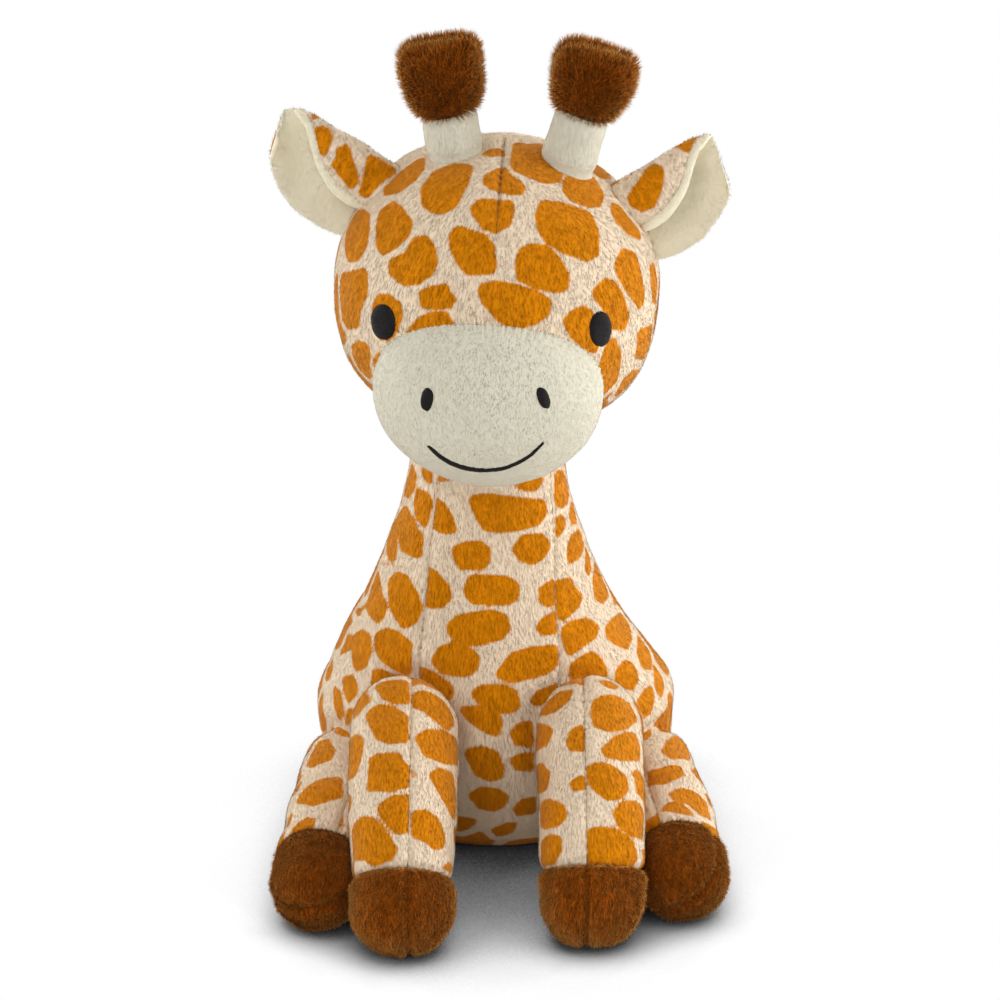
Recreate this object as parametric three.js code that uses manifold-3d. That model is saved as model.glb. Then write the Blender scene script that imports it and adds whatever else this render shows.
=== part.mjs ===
// Plush giraffe, sitting. Millimetres, +Z up, the face looks along -Y and the giraffe's own
// left is +X. The Z axis runs up the middle of the neck, and the seat rests on z = 0.
import * as THREE from 'three';
import { mergeVertices } from 'three/addons/utils/BufferGeometryUtils.js';
import Module from 'manifold-3d';

const wasm = await Module();
wasm.setup();

// Cloth and seams
const skinThickness = 2.2;
const seamGap = 0.3;
const socketGap = 0.3;
const liftClearance = 0.5;
const cutSpan = 500;
const flatDepth = 0.5;

// Body
const bodyHeight = 172;
const bodyHalfWidth = 66;
const bodyHalfDepth = 56;
const neckRadius = 27;
const bodySetback = 3;
const frontPanelTopHalf = 21;
const frontPanelBottomHalf = 32;
const seatPanelHalfWidth = 40;
const seatPanelHalfDepth = 34;
const pelletBagHalfWidth = 40;
const pelletBagHalfDepth = 34;
const pelletBagHeight = 22;

// Head
const headHalfWidth = 58.5;
const headHalfDepth = 55.5;
const headHalfHeight = 54.5;
const headCentreY = -2;
const headCentreZ = 209;
const headTilt = THREE.MathUtils.degToRad(3);
const headAside = THREE.MathUtils.degToRad(2.5);
const headBackSeamY = 12;

// Muzzle
const muzzleHalfWidth = 40;
const muzzleHalfDepth = 29;
const muzzleHalfHeight = 32;
const muzzleForward = 42;
const muzzleDrop = 27;

// Embroidery
const threadThickness = 0.7;
const eyeHalfWidth = 5.5;
const eyeHalfHeight = 6.7;
const eyeAside = 38;
const eyeDrop = 2;
const nostrilHalfWidth = 2.6;
const nostrilHalfHeight = 3.8;
const nostrilAside = 20;
const nostrilDrop = 20;
const nostrilLean = THREE.MathUtils.degToRad(16);
const mouthHalfWidth = 21;
const mouthSag = 10;
const mouthDrop = 38;
const mouthBand = 1.5;

// Ears
const earLength = 38;
const earHalfWidth = 18.5;
const earRootHalfWidth = 12.5;
const earClothThickness = 2.6;
const earCup = 7;
const earFold = 9;
const earBeadRadius = 4.2;
const earAcross = 47.5;
const earRise = 29;
const earForward = 0.5;
const rightEarLift = THREE.MathUtils.degToRad(22);
const leftEarLift = THREE.MathUtils.degToRad(33);
const earFanShare = 1.4;
const earNarrowShare = 0.25;
const earBluntShare = 0.5;
const earStartShare = 0.4;

// Horns
const hornApart = 20.3;
const hornShift = 2.2;
const hornForward = 8;
const hornRootDepth = 2.5;
const hornLean = THREE.MathUtils.degToRad(11);
const stalkRootRadius = 9.6;
const stalkTopRadius = 9.2;
const stalkLength = 16.5;
const hornTipLength = 28;
const hornTipHalfWidth = 15.8;
const hornTipHalfDepth = 11;

// Legs
const hoofLength = 26;
const frontRootRadius = 19;
const frontShankRadius = 18.4;
const frontHoofRadius = 17.2;
const frontAcross = 33.5;
const frontRootY = -51;
const frontRootZ = 54;
const frontBendY = -91;
const frontBendZ = 40;
const frontHoofAcross = 33.5;
const rightFrontHoofY = -115;
const leftFrontHoofY = -108;
const hindRootRadius = 19;
const hindShankRadius = 18;
const hindHoofRadius = 16.3;
const hindAcross = 54;
const hindRootY = -26;
const hindRootZ = 23;
const hindBendY = -66;
const hindBendAcross = 61;
const hindBendZ = 19;
const hindHoofAcross = 65.5;
const rightHindHoofY = -98;
const leftHindHoofY = -92;

// Tail
const tailRadius = 4.2;
const tailRootRadius = 5.2;
const tailRootY = 58.5;
const tailRootZ = 57;
const tailBendY = 75;
const tailEndY = 72;
const tailEndZ = 26;
const tuftRadius = 7.2;
const tuftLength = 23;

// How far each horn bends either way
const hornBend = THREE.MathUtils.degToRad(12);

// Smoothness of the forms
const bodyAround = 24;
const headAround = 20;
const limbAround = 14;
const limbRings = 5;
const capRings = 3;
const smallAround = 10;
const hornAround = 12;
const earSteps = 6;
const probeShare = 0.01;

// The body's outline: share of its height, then how far it has swelled from neck to seat
const bodyOutlineShares = [
  [0, 0.44], [0.035, 0.69], [0.09, 0.86], [0.17, 0.97], [0.25, 1], [0.33, 0.91], [0.42, 0.73],
  [0.52, 0.46], [0.62, 0.24], [0.72, 0.09], [0.81, 0.01], [0.88, 0],
];
// The neck's round top inside the head: share of the body's height, then of the neck's radius
const neckTopShares = [[0.94, 0.9], [0.98, 0.6]];

const xAxis = new THREE.Vector3(1, 0, 0);
const yAxis = new THREE.Vector3(0, 1, 0);
const zAxis = new THREE.Vector3(0, 0, 1);

const headCentre = new THREE.Vector3(0, headCentreY, headCentreZ);
const muzzleCentre = new THREE.Vector3(0, headCentreY - muzzleForward, headCentreZ - muzzleDrop);
const headTurn = new THREE.Matrix4().makeTranslation(headCentre)
  .multiply(new THREE.Matrix4().makeRotationY(headTilt))
  .multiply(new THREE.Matrix4().makeRotationZ(-headAside))
  .multiply(new THREE.Matrix4().makeTranslation(headCentre.clone().negate()));

// Solids and booleans

function solidOf(geometry) {
  const bare = geometry.clone();
  bare.deleteAttribute('normal');
  bare.deleteAttribute('uv');
  const merged = mergeVertices(bare);
  return new wasm.Manifold(new wasm.Mesh({
    numProp: 3,
    vertProperties: Float32Array.from(merged.attributes.position.array),
    triVerts: Uint32Array.from(merged.index.array),
  }));
}

function geometryOf(solid) {
  const mesh = solid.getMesh();
  const geometry = new THREE.BufferGeometry();
  geometry.setAttribute('position', new THREE.BufferAttribute(mesh.vertProperties, 3));
  geometry.setIndex(new THREE.BufferAttribute(mesh.triVerts, 1));
  geometry.computeVertexNormals();
  return geometry;
}

// A geometry moved by a matrix, turned right side out again where the matrix mirrors it
function moved(geometry, matrix) {
  geometry.applyMatrix4(matrix);
  if (matrix.determinant() < 0) {
    const index = geometry.index.array;
    for (let k = 0; k < index.length; k += 3) {
      [index[k + 1], index[k + 2]] = [index[k + 2], index[k + 1]];
    }
  }
  return geometry;
}

function cut(solid, ...tools) {
  return tools.reduce((rest, tool) => rest.subtract(tool), solid);
}

// The one body that counts, without the slivers that a cut can leave
function mainBody(solid) {
  return solid.decompose().reduce((main, body) => (body.volume() > main.volume() ? body : main));
}

function joined(first, ...others) {
  return others.reduce((sum, other) => sum.add(other), first);
}

function closedMesh(points, faces) {
  const geometry = new THREE.BufferGeometry();
  geometry.setAttribute('position', new THREE.Float32BufferAttribute(points.flatMap((p) => p.toArray()), 3));
  const volume = faces.reduce((sum, [a, b, c]) =>
    sum + points[a].dot(points[b].clone().cross(points[c])), 0);
  geometry.setIndex(faces.flatMap(([a, b, c]) => (volume > 0 ? [a, b, c] : [a, c, b])));
  return geometry;
}

// A closed form through rings of points, with a point at each end
function ringedForm(rings, first, last) {
  const around = rings[0].length;
  const points = [first, ...rings.flat(), last];
  const at = (ring, k) => 1 + ring * around + (k % around);
  const faces = [];
  for (let k = 0; k < around; k += 1) {
    faces.push([0, at(0, k + 1), at(0, k)]);
    faces.push([points.length - 1, at(rings.length - 1, k), at(rings.length - 1, k + 1)]);
    for (let ring = 0; ring + 1 < rings.length; ring += 1) {
      faces.push([at(ring, k), at(ring, k + 1), at(ring + 1, k)]);
      faces.push([at(ring, k + 1), at(ring + 1, k + 1), at(ring + 1, k)]);
    }
  }
  return closedMesh(points, faces);
}

function ring(centre, side, up, halfWidth, halfDepth, around) {
  return Array.from({ length: around }, (_, k) => {
    const angle = (k / around) * 2 * Math.PI;
    return centre.clone()
      .addScaledVector(side, halfWidth * Math.cos(angle))
      .addScaledVector(up, halfDepth * Math.sin(angle));
  });
}

// A box that fills the side of a plane that its direction points to
function halfSpace(point, direction) {
  const box = new THREE.BoxGeometry(cutSpan, cutSpan, cutSpan);
  const turn = new THREE.Quaternion().setFromUnitVectors(zAxis, direction.clone().normalize());
  box.applyQuaternion(turn);
  const centre = point.clone().addScaledVector(direction.clone().normalize(), cutSpan / 2);
  return solidOf(box.translate(...centre.toArray()));
}

// A slab of a seam gap's thickness about a plane
function seamCut(point, direction) {
  const slab = new THREE.BoxGeometry(cutSpan, cutSpan, seamGap);
  slab.applyQuaternion(new THREE.Quaternion().setFromUnitVectors(zAxis, direction.clone().normalize()));
  return solidOf(slab.translate(...point.toArray()));
}

function ellipsoid(centre, halfWidth, halfDepth, halfHeight, around, rings) {
  const ball = new THREE.SphereGeometry(1, around, rings).rotateX(Math.PI / 2);
  return ball.scale(halfWidth, halfDepth, halfHeight).translate(...centre.toArray());
}

// Soft forms

function bodyForm(grow, around = bodyAround) {
  const swell = ([height, share]) => {
    const level = bodyHeight * height;
    const centre = new THREE.Vector3(0, bodySetback * share, level);
    const wide = neckRadius + (bodyHalfWidth - neckRadius) * share + grow;
    const deep = neckRadius + (bodyHalfDepth - neckRadius) * share + grow;
    return ring(centre, xAxis, yAxis, wide, deep, around);
  };
  const top = ([height, share]) => ring(
    new THREE.Vector3(0, 0, bodyHeight * height + grow),
    xAxis, yAxis, neckRadius * share + grow, neckRadius * share + grow, around,
  );
  const rings = [...bodyOutlineShares.map(swell), ...neckTopShares.map(top)];
  const seatCentre = new THREE.Vector3(0, bodySetback * bodyOutlineShares[0][1], 0);
  return ringedForm(rings, seatCentre, new THREE.Vector3(0, 0, bodyHeight + grow));
}

function headBall(grow, around = headAround) {
  return solidOf(ellipsoid(headCentre, headHalfWidth + grow, headHalfDepth + grow,
    headHalfHeight + grow, around, around / 2).applyMatrix4(headTurn));
}

function muzzleBall(grow, around = headAround) {
  return solidOf(ellipsoid(muzzleCentre, muzzleHalfWidth + grow, muzzleHalfDepth + grow,
    muzzleHalfHeight + grow, around, around / 2).applyMatrix4(headTurn));
}

function headForm(grow, around = headAround) {
  return headBall(grow, around).add(muzzleBall(grow, around));
}

// A stuffed limb along a curve: round root, swelling shank and blunt round end
function limbForm(path, radiusAt, grow, around, rings) {
  const frame = (t) => {
    const along = path.getTangentAt(t);
    const side = xAxis.clone().addScaledVector(along, -xAxis.dot(along)).normalize();
    return { at: path.getPointAt(t), along, side, up: along.clone().cross(side) };
  };
  const sections = [];
  const start = frame(0);
  const end = frame(1);
  const cap = (base, direction, radius, angle) => ring(
    base.at.clone().addScaledVector(base.along, direction * radius * Math.cos(angle)),
    base.side, base.up, radius * Math.sin(angle), radius * Math.sin(angle), around,
  );
  for (let k = 1; k < capRings; k += 1) {
    sections.push(cap(start, -1, radiusAt(0) + grow, (k / capRings) * (Math.PI / 2)));
  }
  for (let k = 0; k <= rings; k += 1) {
    const base = frame(k / rings);
    const radius = radiusAt(k / rings) + grow;
    sections.push(ring(base.at, base.side, base.up, radius, radius, around));
  }
  for (let k = capRings - 1; k > 0; k -= 1) {
    sections.push(cap(end, 1, radiusAt(1) + grow, (k / capRings) * (Math.PI / 2)));
  }
  const first = start.at.clone().addScaledVector(start.along, -(radiusAt(0) + grow));
  const last = end.at.clone().addScaledVector(end.along, radiusAt(1) + grow);
  return solidOf(ringedForm(sections, first, last));
}

function ball(centre, radius, around) {
  return solidOf(ellipsoid(centre, radius, radius, radius, around, around / 2));
}

// A round seat whose flat facets all lie outside the ball that turns in it
function seatBall(centre, radius, around) {
  return ball(centre, (radius + socketGap) / Math.cos(Math.PI / around) ** 2, around);
}

// A curved leaf of cloth between two offsets from a surface
function leaf(surface, near, far) {
  const grid = [near, far].map((offset) => {
    const rows = [];
    for (let i = 0; i <= earSteps; i += 1) {
      for (let j = 0; j <= earSteps; j += 1) {
        const { point, normal } = surface(i / earSteps, j / earSteps);
        rows.push(point.clone().addScaledVector(normal, offset));
      }
    }
    return rows;
  });
  const layer = grid[0].length;
  const at = (side, i, j) => side * layer + i * (earSteps + 1) + j;
  const faces = [];
  const quad = (a, b, c, d) => faces.push([a, b, c], [a, c, d]);
  for (let i = 0; i < earSteps; i += 1) {
    for (let j = 0; j < earSteps; j += 1) {
      quad(at(0, i, j), at(0, i, j + 1), at(0, i + 1, j + 1), at(0, i + 1, j));
      quad(at(1, i, j), at(1, i + 1, j), at(1, i + 1, j + 1), at(1, i, j + 1));
    }
    quad(at(0, i, 0), at(0, i + 1, 0), at(1, i + 1, 0), at(1, i, 0));
    quad(at(0, i + 1, earSteps), at(0, i, earSteps), at(1, i, earSteps), at(1, i + 1, earSteps));
    quad(at(0, 0, i + 1), at(0, 0, i), at(1, 0, i), at(1, 0, i + 1));
    quad(at(0, earSteps, i), at(0, earSteps, i + 1), at(1, earSteps, i + 1), at(1, earSteps, i));
  }
  return solidOf(closedMesh(grid.flat(), faces));
}

// Legs

function legPath({ side, across, rootY, rootZ, bendAcross, bendY, bendZ, hoofAcross, hoofY, hoofRadius }) {
  return new THREE.QuadraticBezierCurve3(
    new THREE.Vector3(side * across, rootY, rootZ),
    new THREE.Vector3(side * bendAcross, bendY, bendZ),
    new THREE.Vector3(side * hoofAcross, hoofY, hoofRadius - flatDepth),
  );
}

function legForm(leg, grow, around = limbAround) {
  const radiusAt = (t) => (t < 0.5
    ? THREE.MathUtils.lerp(leg.rootRadius, leg.shankRadius, 2 * t)
    : THREE.MathUtils.lerp(leg.shankRadius, leg.hoofRadius, 2 * t - 1));
  return limbForm(legPath(leg), radiusAt, grow, around, limbRings);
}

const front = {
  across: frontAcross, rootY: frontRootY, rootZ: frontRootZ, rootRadius: frontRootRadius,
  bendAcross: frontAcross, bendY: frontBendY, bendZ: frontBendZ, shankRadius: frontShankRadius,
  hoofAcross: frontHoofAcross, hoofRadius: frontHoofRadius,
};
const hind = {
  across: hindAcross, rootY: hindRootY, rootZ: hindRootZ, rootRadius: hindRootRadius,
  bendAcross: hindBendAcross, bendY: hindBendY, bendZ: hindBendZ, shankRadius: hindShankRadius,
  hoofAcross: hindHoofAcross, hoofRadius: hindHoofRadius,
};
const legs = [
  { name: 'right_front', side: -1, hoofY: rightFrontHoofY, ...front },
  { name: 'left_front', side: 1, hoofY: leftFrontHoofY, ...front },
  { name: 'right_hind', side: -1, hoofY: rightHindHoofY, ...hind },
  { name: 'left_hind', side: 1, hoofY: leftHindHoofY, ...hind },
];

const underFloor = halfSpace(new THREE.Vector3(), zAxis.clone().negate());

function legPivot(leg) {
  return new THREE.Vector3(leg.side * leg.across, leg.rootY, leg.rootZ);
}

function legPieces(leg) {
  const path = legPath(leg);
  const body = solidOf(bodyForm(liftClearance));
  const clear = joined(underFloor, cut(body, ball(legPivot(leg), leg.rootRadius, limbAround)));
  const outer = cut(legForm(leg, 0), clear);
  const inner = legForm(leg, -skinThickness);
  const hoofDirection = path.getTangentAt(1);
  const ringPoint = path.getPointAt(1).addScaledVector(hoofDirection, leg.hoofRadius - hoofLength);
  const beyondRing = halfSpace(ringPoint, hoofDirection);
  const ringGap = seamCut(ringPoint, hoofDirection);
  const skin = cut(outer, inner, beyondRing, ringGap);
  const hoof = cut(outer, inner, ringGap).intersect(beyondRing);
  const root = path.getPointAt(0);
  const chord = path.getPointAt(1).sub(root);
  const across = xAxis.clone().addScaledVector(chord, -xAxis.dot(chord) / chord.lengthSq()).normalize();
  const middleGap = seamCut(root, across);
  const filling = cut(legForm(leg, -skinThickness - seamGap, limbAround / 2), clear);
  return {
    outer_side: cut(skin, middleGap, halfSpace(root, across.clone().multiplyScalar(-leg.side))),
    inner_side: cut(skin, middleGap, halfSpace(root, across.clone().multiplyScalar(leg.side))),
    hoof,
    stuffing: filling,
  };
}

function legSocket(leg) {
  return seatBall(legPivot(leg), leg.rootRadius, limbAround);
}

// Tail

const tailPath = new THREE.QuadraticBezierCurve3(
  new THREE.Vector3(0, tailRootY, tailRootZ),
  new THREE.Vector3(0, tailBendY, tailRootZ),
  new THREE.Vector3(0, tailEndY, tailEndZ),
);

function tailForm() {
  const radiusAt = (t) => THREE.MathUtils.lerp(tailRootRadius, tailRadius, t);
  return limbForm(tailPath, radiusAt, 0, smallAround, limbRings);
}

function tuftForm() {
  const centre = new THREE.Vector3(0, tailEndY, tailEndZ - tuftLength / 2);
  const form = solidOf(ellipsoid(centre, tuftRadius, tuftRadius, tuftLength / 2, smallAround, smallAround / 2));
  return cut(form, limbForm(tailPath, () => tailRadius, seamGap, smallAround, limbRings));
}

// Horns

function hornFrame(side) {
  const across = side * hornApart + hornShift;
  const up = Math.sqrt(1 - (across / headHalfWidth) ** 2 - (hornForward / headHalfDepth) ** 2);
  const root = headCentre.clone().add(
    new THREE.Vector3(across, -hornForward, headHalfHeight * up - hornRootDepth),
  );
  return headTurn.clone()
    .multiply(new THREE.Matrix4().makeTranslation(root))
    .multiply(new THREE.Matrix4().makeRotationY(side * hornLean));
}

// The room a horn's stalk needs in the head to bend both ways about its ball
function hornSocket() {
  const radius = (stalkRootRadius + socketGap) / Math.cos(Math.PI / hornAround);
  const widest = radius / Math.cos(hornBend) + radius * Math.tan(hornBend);
  const dome = domeRings(radius);
  const level = (height, size) => ring(new THREE.Vector3(0, 0, height), xAxis, yAxis, size, size, hornAround);
  return ringedForm([...dome, level(0, radius), level(radius, widest)],
    new THREE.Vector3(0, 0, -radius), new THREE.Vector3(0, 0, radius));
}

function domeRings(radius) {
  return Array.from({ length: capRings - 1 }, (_, k) => ((k + 1) / capRings) * (Math.PI / 2))
    .map((angle) => ring(new THREE.Vector3(0, 0, -radius * Math.cos(angle)), xAxis, yAxis,
      radius * Math.sin(angle), radius * Math.sin(angle), hornAround));
}

// A horn's stalk, round, with a ball at its root; its own frame stands on the ball's middle
function stalkForm(grow) {
  const radius = stalkRootRadius + grow;
  const dome = domeRings(radius);
  const level = (height, size) => ring(new THREE.Vector3(0, 0, height), xAxis, yAxis,
    size + grow, size + grow, hornAround);
  return ringedForm([...dome, level(0, stalkRootRadius), level(stalkLength, stalkTopRadius)],
    new THREE.Vector3(0, 0, -radius), new THREE.Vector3(0, 0, stalkLength));
}

// The horn's stuffed tip: share of its length, then of its half width and half depth
const hornTipShares = [
  [0, 0.66, 0.84], [0.18, 0.84, 0.95], [0.42, 0.96, 1], [0.66, 1, 0.98], [0.84, 0.94, 0.82], [0.95, 0.78, 0.5],
];

function hornTipForm(grow) {
  const level = (share) => new THREE.Vector3(0, 0,
    stalkLength + seamGap - grow + (hornTipLength + 2 * grow) * share);
  const rings = hornTipShares.map(([height, wide, deep]) => ring(level(height),
    xAxis, yAxis, hornTipHalfWidth * wide + grow, hornTipHalfDepth * deep + grow, hornAround));
  return ringedForm(rings, level(0), level(1));
}

function hornPieces(side) {
  const place = (geometry) => solidOf(geometry.applyMatrix4(hornFrame(side)));
  const passage = (radius) => place(new THREE.CylinderGeometry(radius, radius,
    hornTipHalfDepth, hornAround).rotateX(Math.PI / 2).translate(0, 0, stalkLength));
  const throat = stalkTopRadius - skinThickness;
  return {
    stalk: cut(place(stalkForm(0)), place(stalkForm(-skinThickness)), passage(throat)),
    tip: cut(place(hornTipForm(0)), place(hornTipForm(-skinThickness)), passage(throat)),
    stuffing: joined(
      place(stalkForm(-skinThickness - seamGap)),
      passage(throat - seamGap),
      place(hornTipForm(-skinThickness - seamGap)),
    ),
  };
}

// Ears

function earFrame(side) {
  const root = headCentre.clone().add(new THREE.Vector3(side * earAcross, -earForward, earRise));
  const lift = side < 0 ? rightEarLift : leftEarLift;
  const outward = new THREE.Vector3(side * Math.cos(lift), 0, Math.sin(lift));
  const upward = new THREE.Vector3(-side * Math.sin(lift), 0, Math.cos(lift));
  const forward = yAxis.clone().negate();
  return headTurn.clone()
    .multiply(new THREE.Matrix4().makeTranslation(root))
    .multiply(new THREE.Matrix4().makeBasis(outward, upward, forward));
}

// The ear's middle surface: outward along the ear, then from its lower to its upper edge
function earPoint(along, across) {
  const reach = 2 * across - 1;
  const fan = Math.sin(Math.min(1, earFanShare * along) * (Math.PI / 2));
  const narrow = 1 - earNarrowShare * along ** 4;
  const half = THREE.MathUtils.lerp(earRootHalfWidth, earHalfWidth, fan) * narrow;
  const blunt = Math.sqrt(1 - earBluntShare * (reach * along) ** 2);
  const out = earBeadRadius * earStartShare + (earLength - earBeadRadius * earStartShare) * along * blunt;
  const curl = earCup * reach ** 2 + earFold * Math.max(0, reach) ** 3;
  return new THREE.Vector3(out, half * reach, curl * Math.sin(Math.min(1, 2 * along) * (Math.PI / 2)));
}

function earSurface(along, across) {
  const point = earPoint(along, across);
  const towardEnd = earPoint(along + probeShare, across).sub(earPoint(along - probeShare, across));
  const towardTop = earPoint(along, across + probeShare).sub(earPoint(along, across - probeShare));
  return { point, normal: towardEnd.cross(towardTop).normalize() };
}

function earBead(radius) {
  const halfLength = earRootHalfWidth + radius - earBeadRadius;
  return new THREE.CylinderGeometry(radius, radius, 2 * halfLength, smallAround);
}

function earPieces(side) {
  const place = (solid) => solidOf(moved(geometryOf(solid), earFrame(side)));
  const leafOf = (near, far) => leaf(earSurface, near, far);
  const back = leafOf(-earClothThickness - seamGap / 2, -seamGap / 2);
  const inner = leafOf(seamGap / 2, earClothThickness + seamGap / 2);
  return {
    outer: place(joined(cut(back, inner), solidOf(earBead(earBeadRadius)))),
    inner: place(cut(inner, solidOf(earBead(earBeadRadius + earClothThickness)))),
  };
}

// Body and head pieces

const bodySockets = [
  ...legs.map(legSocket),
  seatBall(new THREE.Vector3(0, tailRootY, tailRootZ), tailRootRadius, smallAround),
];

function bodyPieces() {
  const outer = cut(solidOf(bodyForm(0)), ...bodySockets);
  const above = (height) => halfSpace(new THREE.Vector3(0, 0, height), zAxis);
  const inner = solidOf(bodyForm(-skinThickness)).intersect(above(skinThickness));
  const skin = cut(outer, inner);
  const strip = (widen) => {
    const outline = new THREE.Shape([
      new THREE.Vector2(-frontPanelBottomHalf - widen, -skinThickness),
      new THREE.Vector2(frontPanelBottomHalf + widen, -skinThickness),
      new THREE.Vector2(frontPanelTopHalf + widen, bodyHeight + skinThickness),
      new THREE.Vector2(-frontPanelTopHalf - widen, bodyHeight + skinThickness),
    ]);
    const prism = new THREE.ExtrudeGeometry(outline, { depth: cutSpan, bevelEnabled: false });
    return solidOf(prism.rotateX(Math.PI / 2).translate(0, widen, 0));
  };
  const seat = (widen) => solidOf(new THREE.CylinderGeometry(1, 1, 4 * skinThickness, bodyAround)
    .rotateX(Math.PI / 2)
    .scale(seatPanelHalfWidth + widen, seatPanelHalfDepth + widen, 1)
    .translate(0, bodySetback / 2, 0));
  const pelletSeat = new THREE.Vector3(0, bodySetback / 2, skinThickness + seamGap);
  const pelletDome = (grow) => solidOf(ellipsoid(pelletSeat, pelletBagHalfWidth + grow,
    pelletBagHalfDepth + grow, pelletBagHeight + grow, bodyAround / 2, bodyAround / 4));
  const sides = cut(skin, strip(seamGap), seat(seamGap));
  const backSeam = seamCut(new THREE.Vector3(), xAxis);
  const leftSide = halfSpace(new THREE.Vector3(), xAxis);
  const roomInside = above(skinThickness + seamGap);
  return {
    body_front_panel: cut(skin.intersect(strip(0)), seat(seamGap)),
    body_left_panel: cut(sides.intersect(leftSide), backSeam),
    body_right_panel: cut(sides, leftSide, backSeam),
    seat_panel: skin.intersect(seat(0)),
    body_stuffing: cut(solidOf(bodyForm(-skinThickness - seamGap, bodyAround / 2)).intersect(roomInside),
      pelletDome(seamGap), ...bodySockets),
    pellet_bag: pelletDome(0).intersect(roomInside),
  };
}

function headSockets() {
  const neck = solidOf(bodyForm(seamGap));
  const beadRoom = (earBeadRadius + socketGap) / Math.cos(Math.PI / smallAround);
  return [-1, 1].reduce((sum, side) => {
    const horn = solidOf(hornSocket().applyMatrix4(hornFrame(side)));
    const bead = solidOf(moved(earBead(beadRoom), earFrame(side)));
    return joined(sum, horn, bead);
  }, neck);
}

function headPieces() {
  const sockets = headSockets();
  const skin = cut(headForm(0), headForm(-skinThickness), sockets);
  const muzzleRoom = (grow) => muzzleBall(grow + seamGap);
  const turned = (solid) => solidOf(geometryOf(solid).applyMatrix4(headTurn));
  const cover = cut(skin, muzzleRoom(seamGap));
  const backSeamPoint = new THREE.Vector3(0, headBackSeamY, 0);
  const back = turned(halfSpace(backSeamPoint, yAxis));
  const face = cut(cover, back, turned(seamCut(backSeamPoint, yAxis)), turned(seamCut(headCentre, xAxis)));
  const leftSide = turned(halfSpace(headCentre, xAxis));
  return {
    head_left_panel: face.intersect(leftSide),
    head_right_panel: cut(face, leftSide),
    head_back_panel: cut(cover.intersect(back), turned(seamCut(backSeamPoint, yAxis))),
    muzzle_panel: skin.intersect(muzzleRoom(0)),
    head_stuffing: cut(headForm(-skinThickness - seamGap, headAround / 2), sockets),
  };
}

// Embroidery lies on the cloth as a thin raised layer

function onHead(geometry) {
  return solidOf(geometry.applyMatrix4(headTurn));
}

function eye(side) {
  const layer = cut(headBall(seamGap + threadThickness), headBall(seamGap));
  const depth = headHalfDepth * Math.sqrt(
    1 - (eyeAside / headHalfWidth) ** 2 - (eyeDrop / headHalfHeight) ** 2);
  const outward = new THREE.Vector3(side * eyeAside / headHalfWidth ** 2, -depth / headHalfDepth ** 2, 0);
  const oval = new THREE.CylinderGeometry(1, 1, headHalfDepth, limbAround)
    .scale(eyeHalfWidth, 1, eyeHalfHeight)
    .applyQuaternion(new THREE.Quaternion().setFromUnitVectors(yAxis.clone().negate(), outward.normalize()))
    .translate(side * eyeAside, headCentreY - depth, headCentreZ - eyeDrop);
  return layer.intersect(onHead(oval));
}

function nostril(side) {
  const layer = cut(muzzleBall(seamGap + threadThickness), muzzleBall(seamGap));
  const oval = new THREE.CylinderGeometry(1, 1, muzzleHalfDepth, smallAround)
    .scale(nostrilHalfWidth, 1, nostrilHalfHeight)
    .rotateY(side * nostrilLean)
    .translate(side * nostrilAside, muzzleCentre.y - muzzleHalfDepth, headCentreZ - nostrilDrop);
  return layer.intersect(onHead(oval));
}

function mouthLine() {
  const layer = cut(muzzleBall(seamGap + threadThickness), muzzleBall(seamGap));
  const radius = (mouthHalfWidth ** 2 + mouthSag ** 2) / (2 * mouthSag);
  const spread = Math.asin(mouthHalfWidth / radius);
  const down = -Math.PI / 2;
  const outline = new THREE.Shape();
  outline.absarc(0, 0, radius + mouthBand / 2, down - spread, down + spread, false);
  outline.absarc(0, 0, radius - mouthBand / 2, down + spread, down - spread, true);
  const depth = muzzleHalfDepth * 2;
  const band = new THREE.ExtrudeGeometry(outline, { depth, bevelEnabled: false, curveSegments: limbAround })
    .rotateX(Math.PI / 2)
    .translate(0, muzzleCentre.y, headCentreZ - mouthDrop - mouthSag + radius);
  return layer.intersect(onHead(band));
}

// Materials

function cloth(colour, roughness) {
  return new THREE.MeshStandardMaterial({ color: new THREE.Color(colour), roughness, metalness: 0 });
}

const printed = () => cloth('#e0b070', 0.95);
const cream = () => cloth('#e2e0cc', 0.95);
const brown = () => cloth('#7a4818', 0.95);
const thread = () => cloth('#262122', 0.6);
const fibre = () => cloth('#f2f2f0', 1);
const liner = () => cloth('#d8d2c4', 0.9);

const giraffe = new THREE.Group();

function place(name, solid, material) {
  const mesh = new THREE.Mesh(geometryOf(mainBody(solid)), material);
  mesh.name = name;
  giraffe.add(mesh);
}

const bodyMaterials = { body_stuffing: fibre, pellet_bag: liner };
for (const [name, solid] of Object.entries(bodyPieces())) {
  place(name, solid, (bodyMaterials[name] ?? printed)());
}

const headMaterials = { head_stuffing: fibre, muzzle_panel: cream };
for (const [name, solid] of Object.entries(headPieces())) {
  place(name, solid, (headMaterials[name] ?? printed)());
}
place('mouth_line', mouthLine(), thread());

for (const [name, side] of [['right', -1], ['left', 1]]) {
  place(`${name}_eye`, eye(side), thread());
  place(`${name}_nostril`, nostril(side), thread());
  const horn = hornPieces(side);
  place(`${name}_horn_stalk`, horn.stalk, cream());
  place(`${name}_horn_tip`, horn.tip, brown());
  place(`${name}_horn_stuffing`, horn.stuffing, fibre());
  const ear = earPieces(side);
  place(`${name}_ear_outer`, ear.outer, printed());
  place(`${name}_ear_inner`, ear.inner, cream());
}

for (const leg of legs) {
  const pieces = legPieces(leg);
  place(`${leg.name}_leg_outer_side`, pieces.outer_side, printed());
  place(`${leg.name}_leg_inner_side`, pieces.inner_side, printed());
  place(`${leg.name}_hoof`, pieces.hoof, brown());
  place(`${leg.name}_leg_stuffing`, pieces.stuffing, fibre());
}

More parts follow.
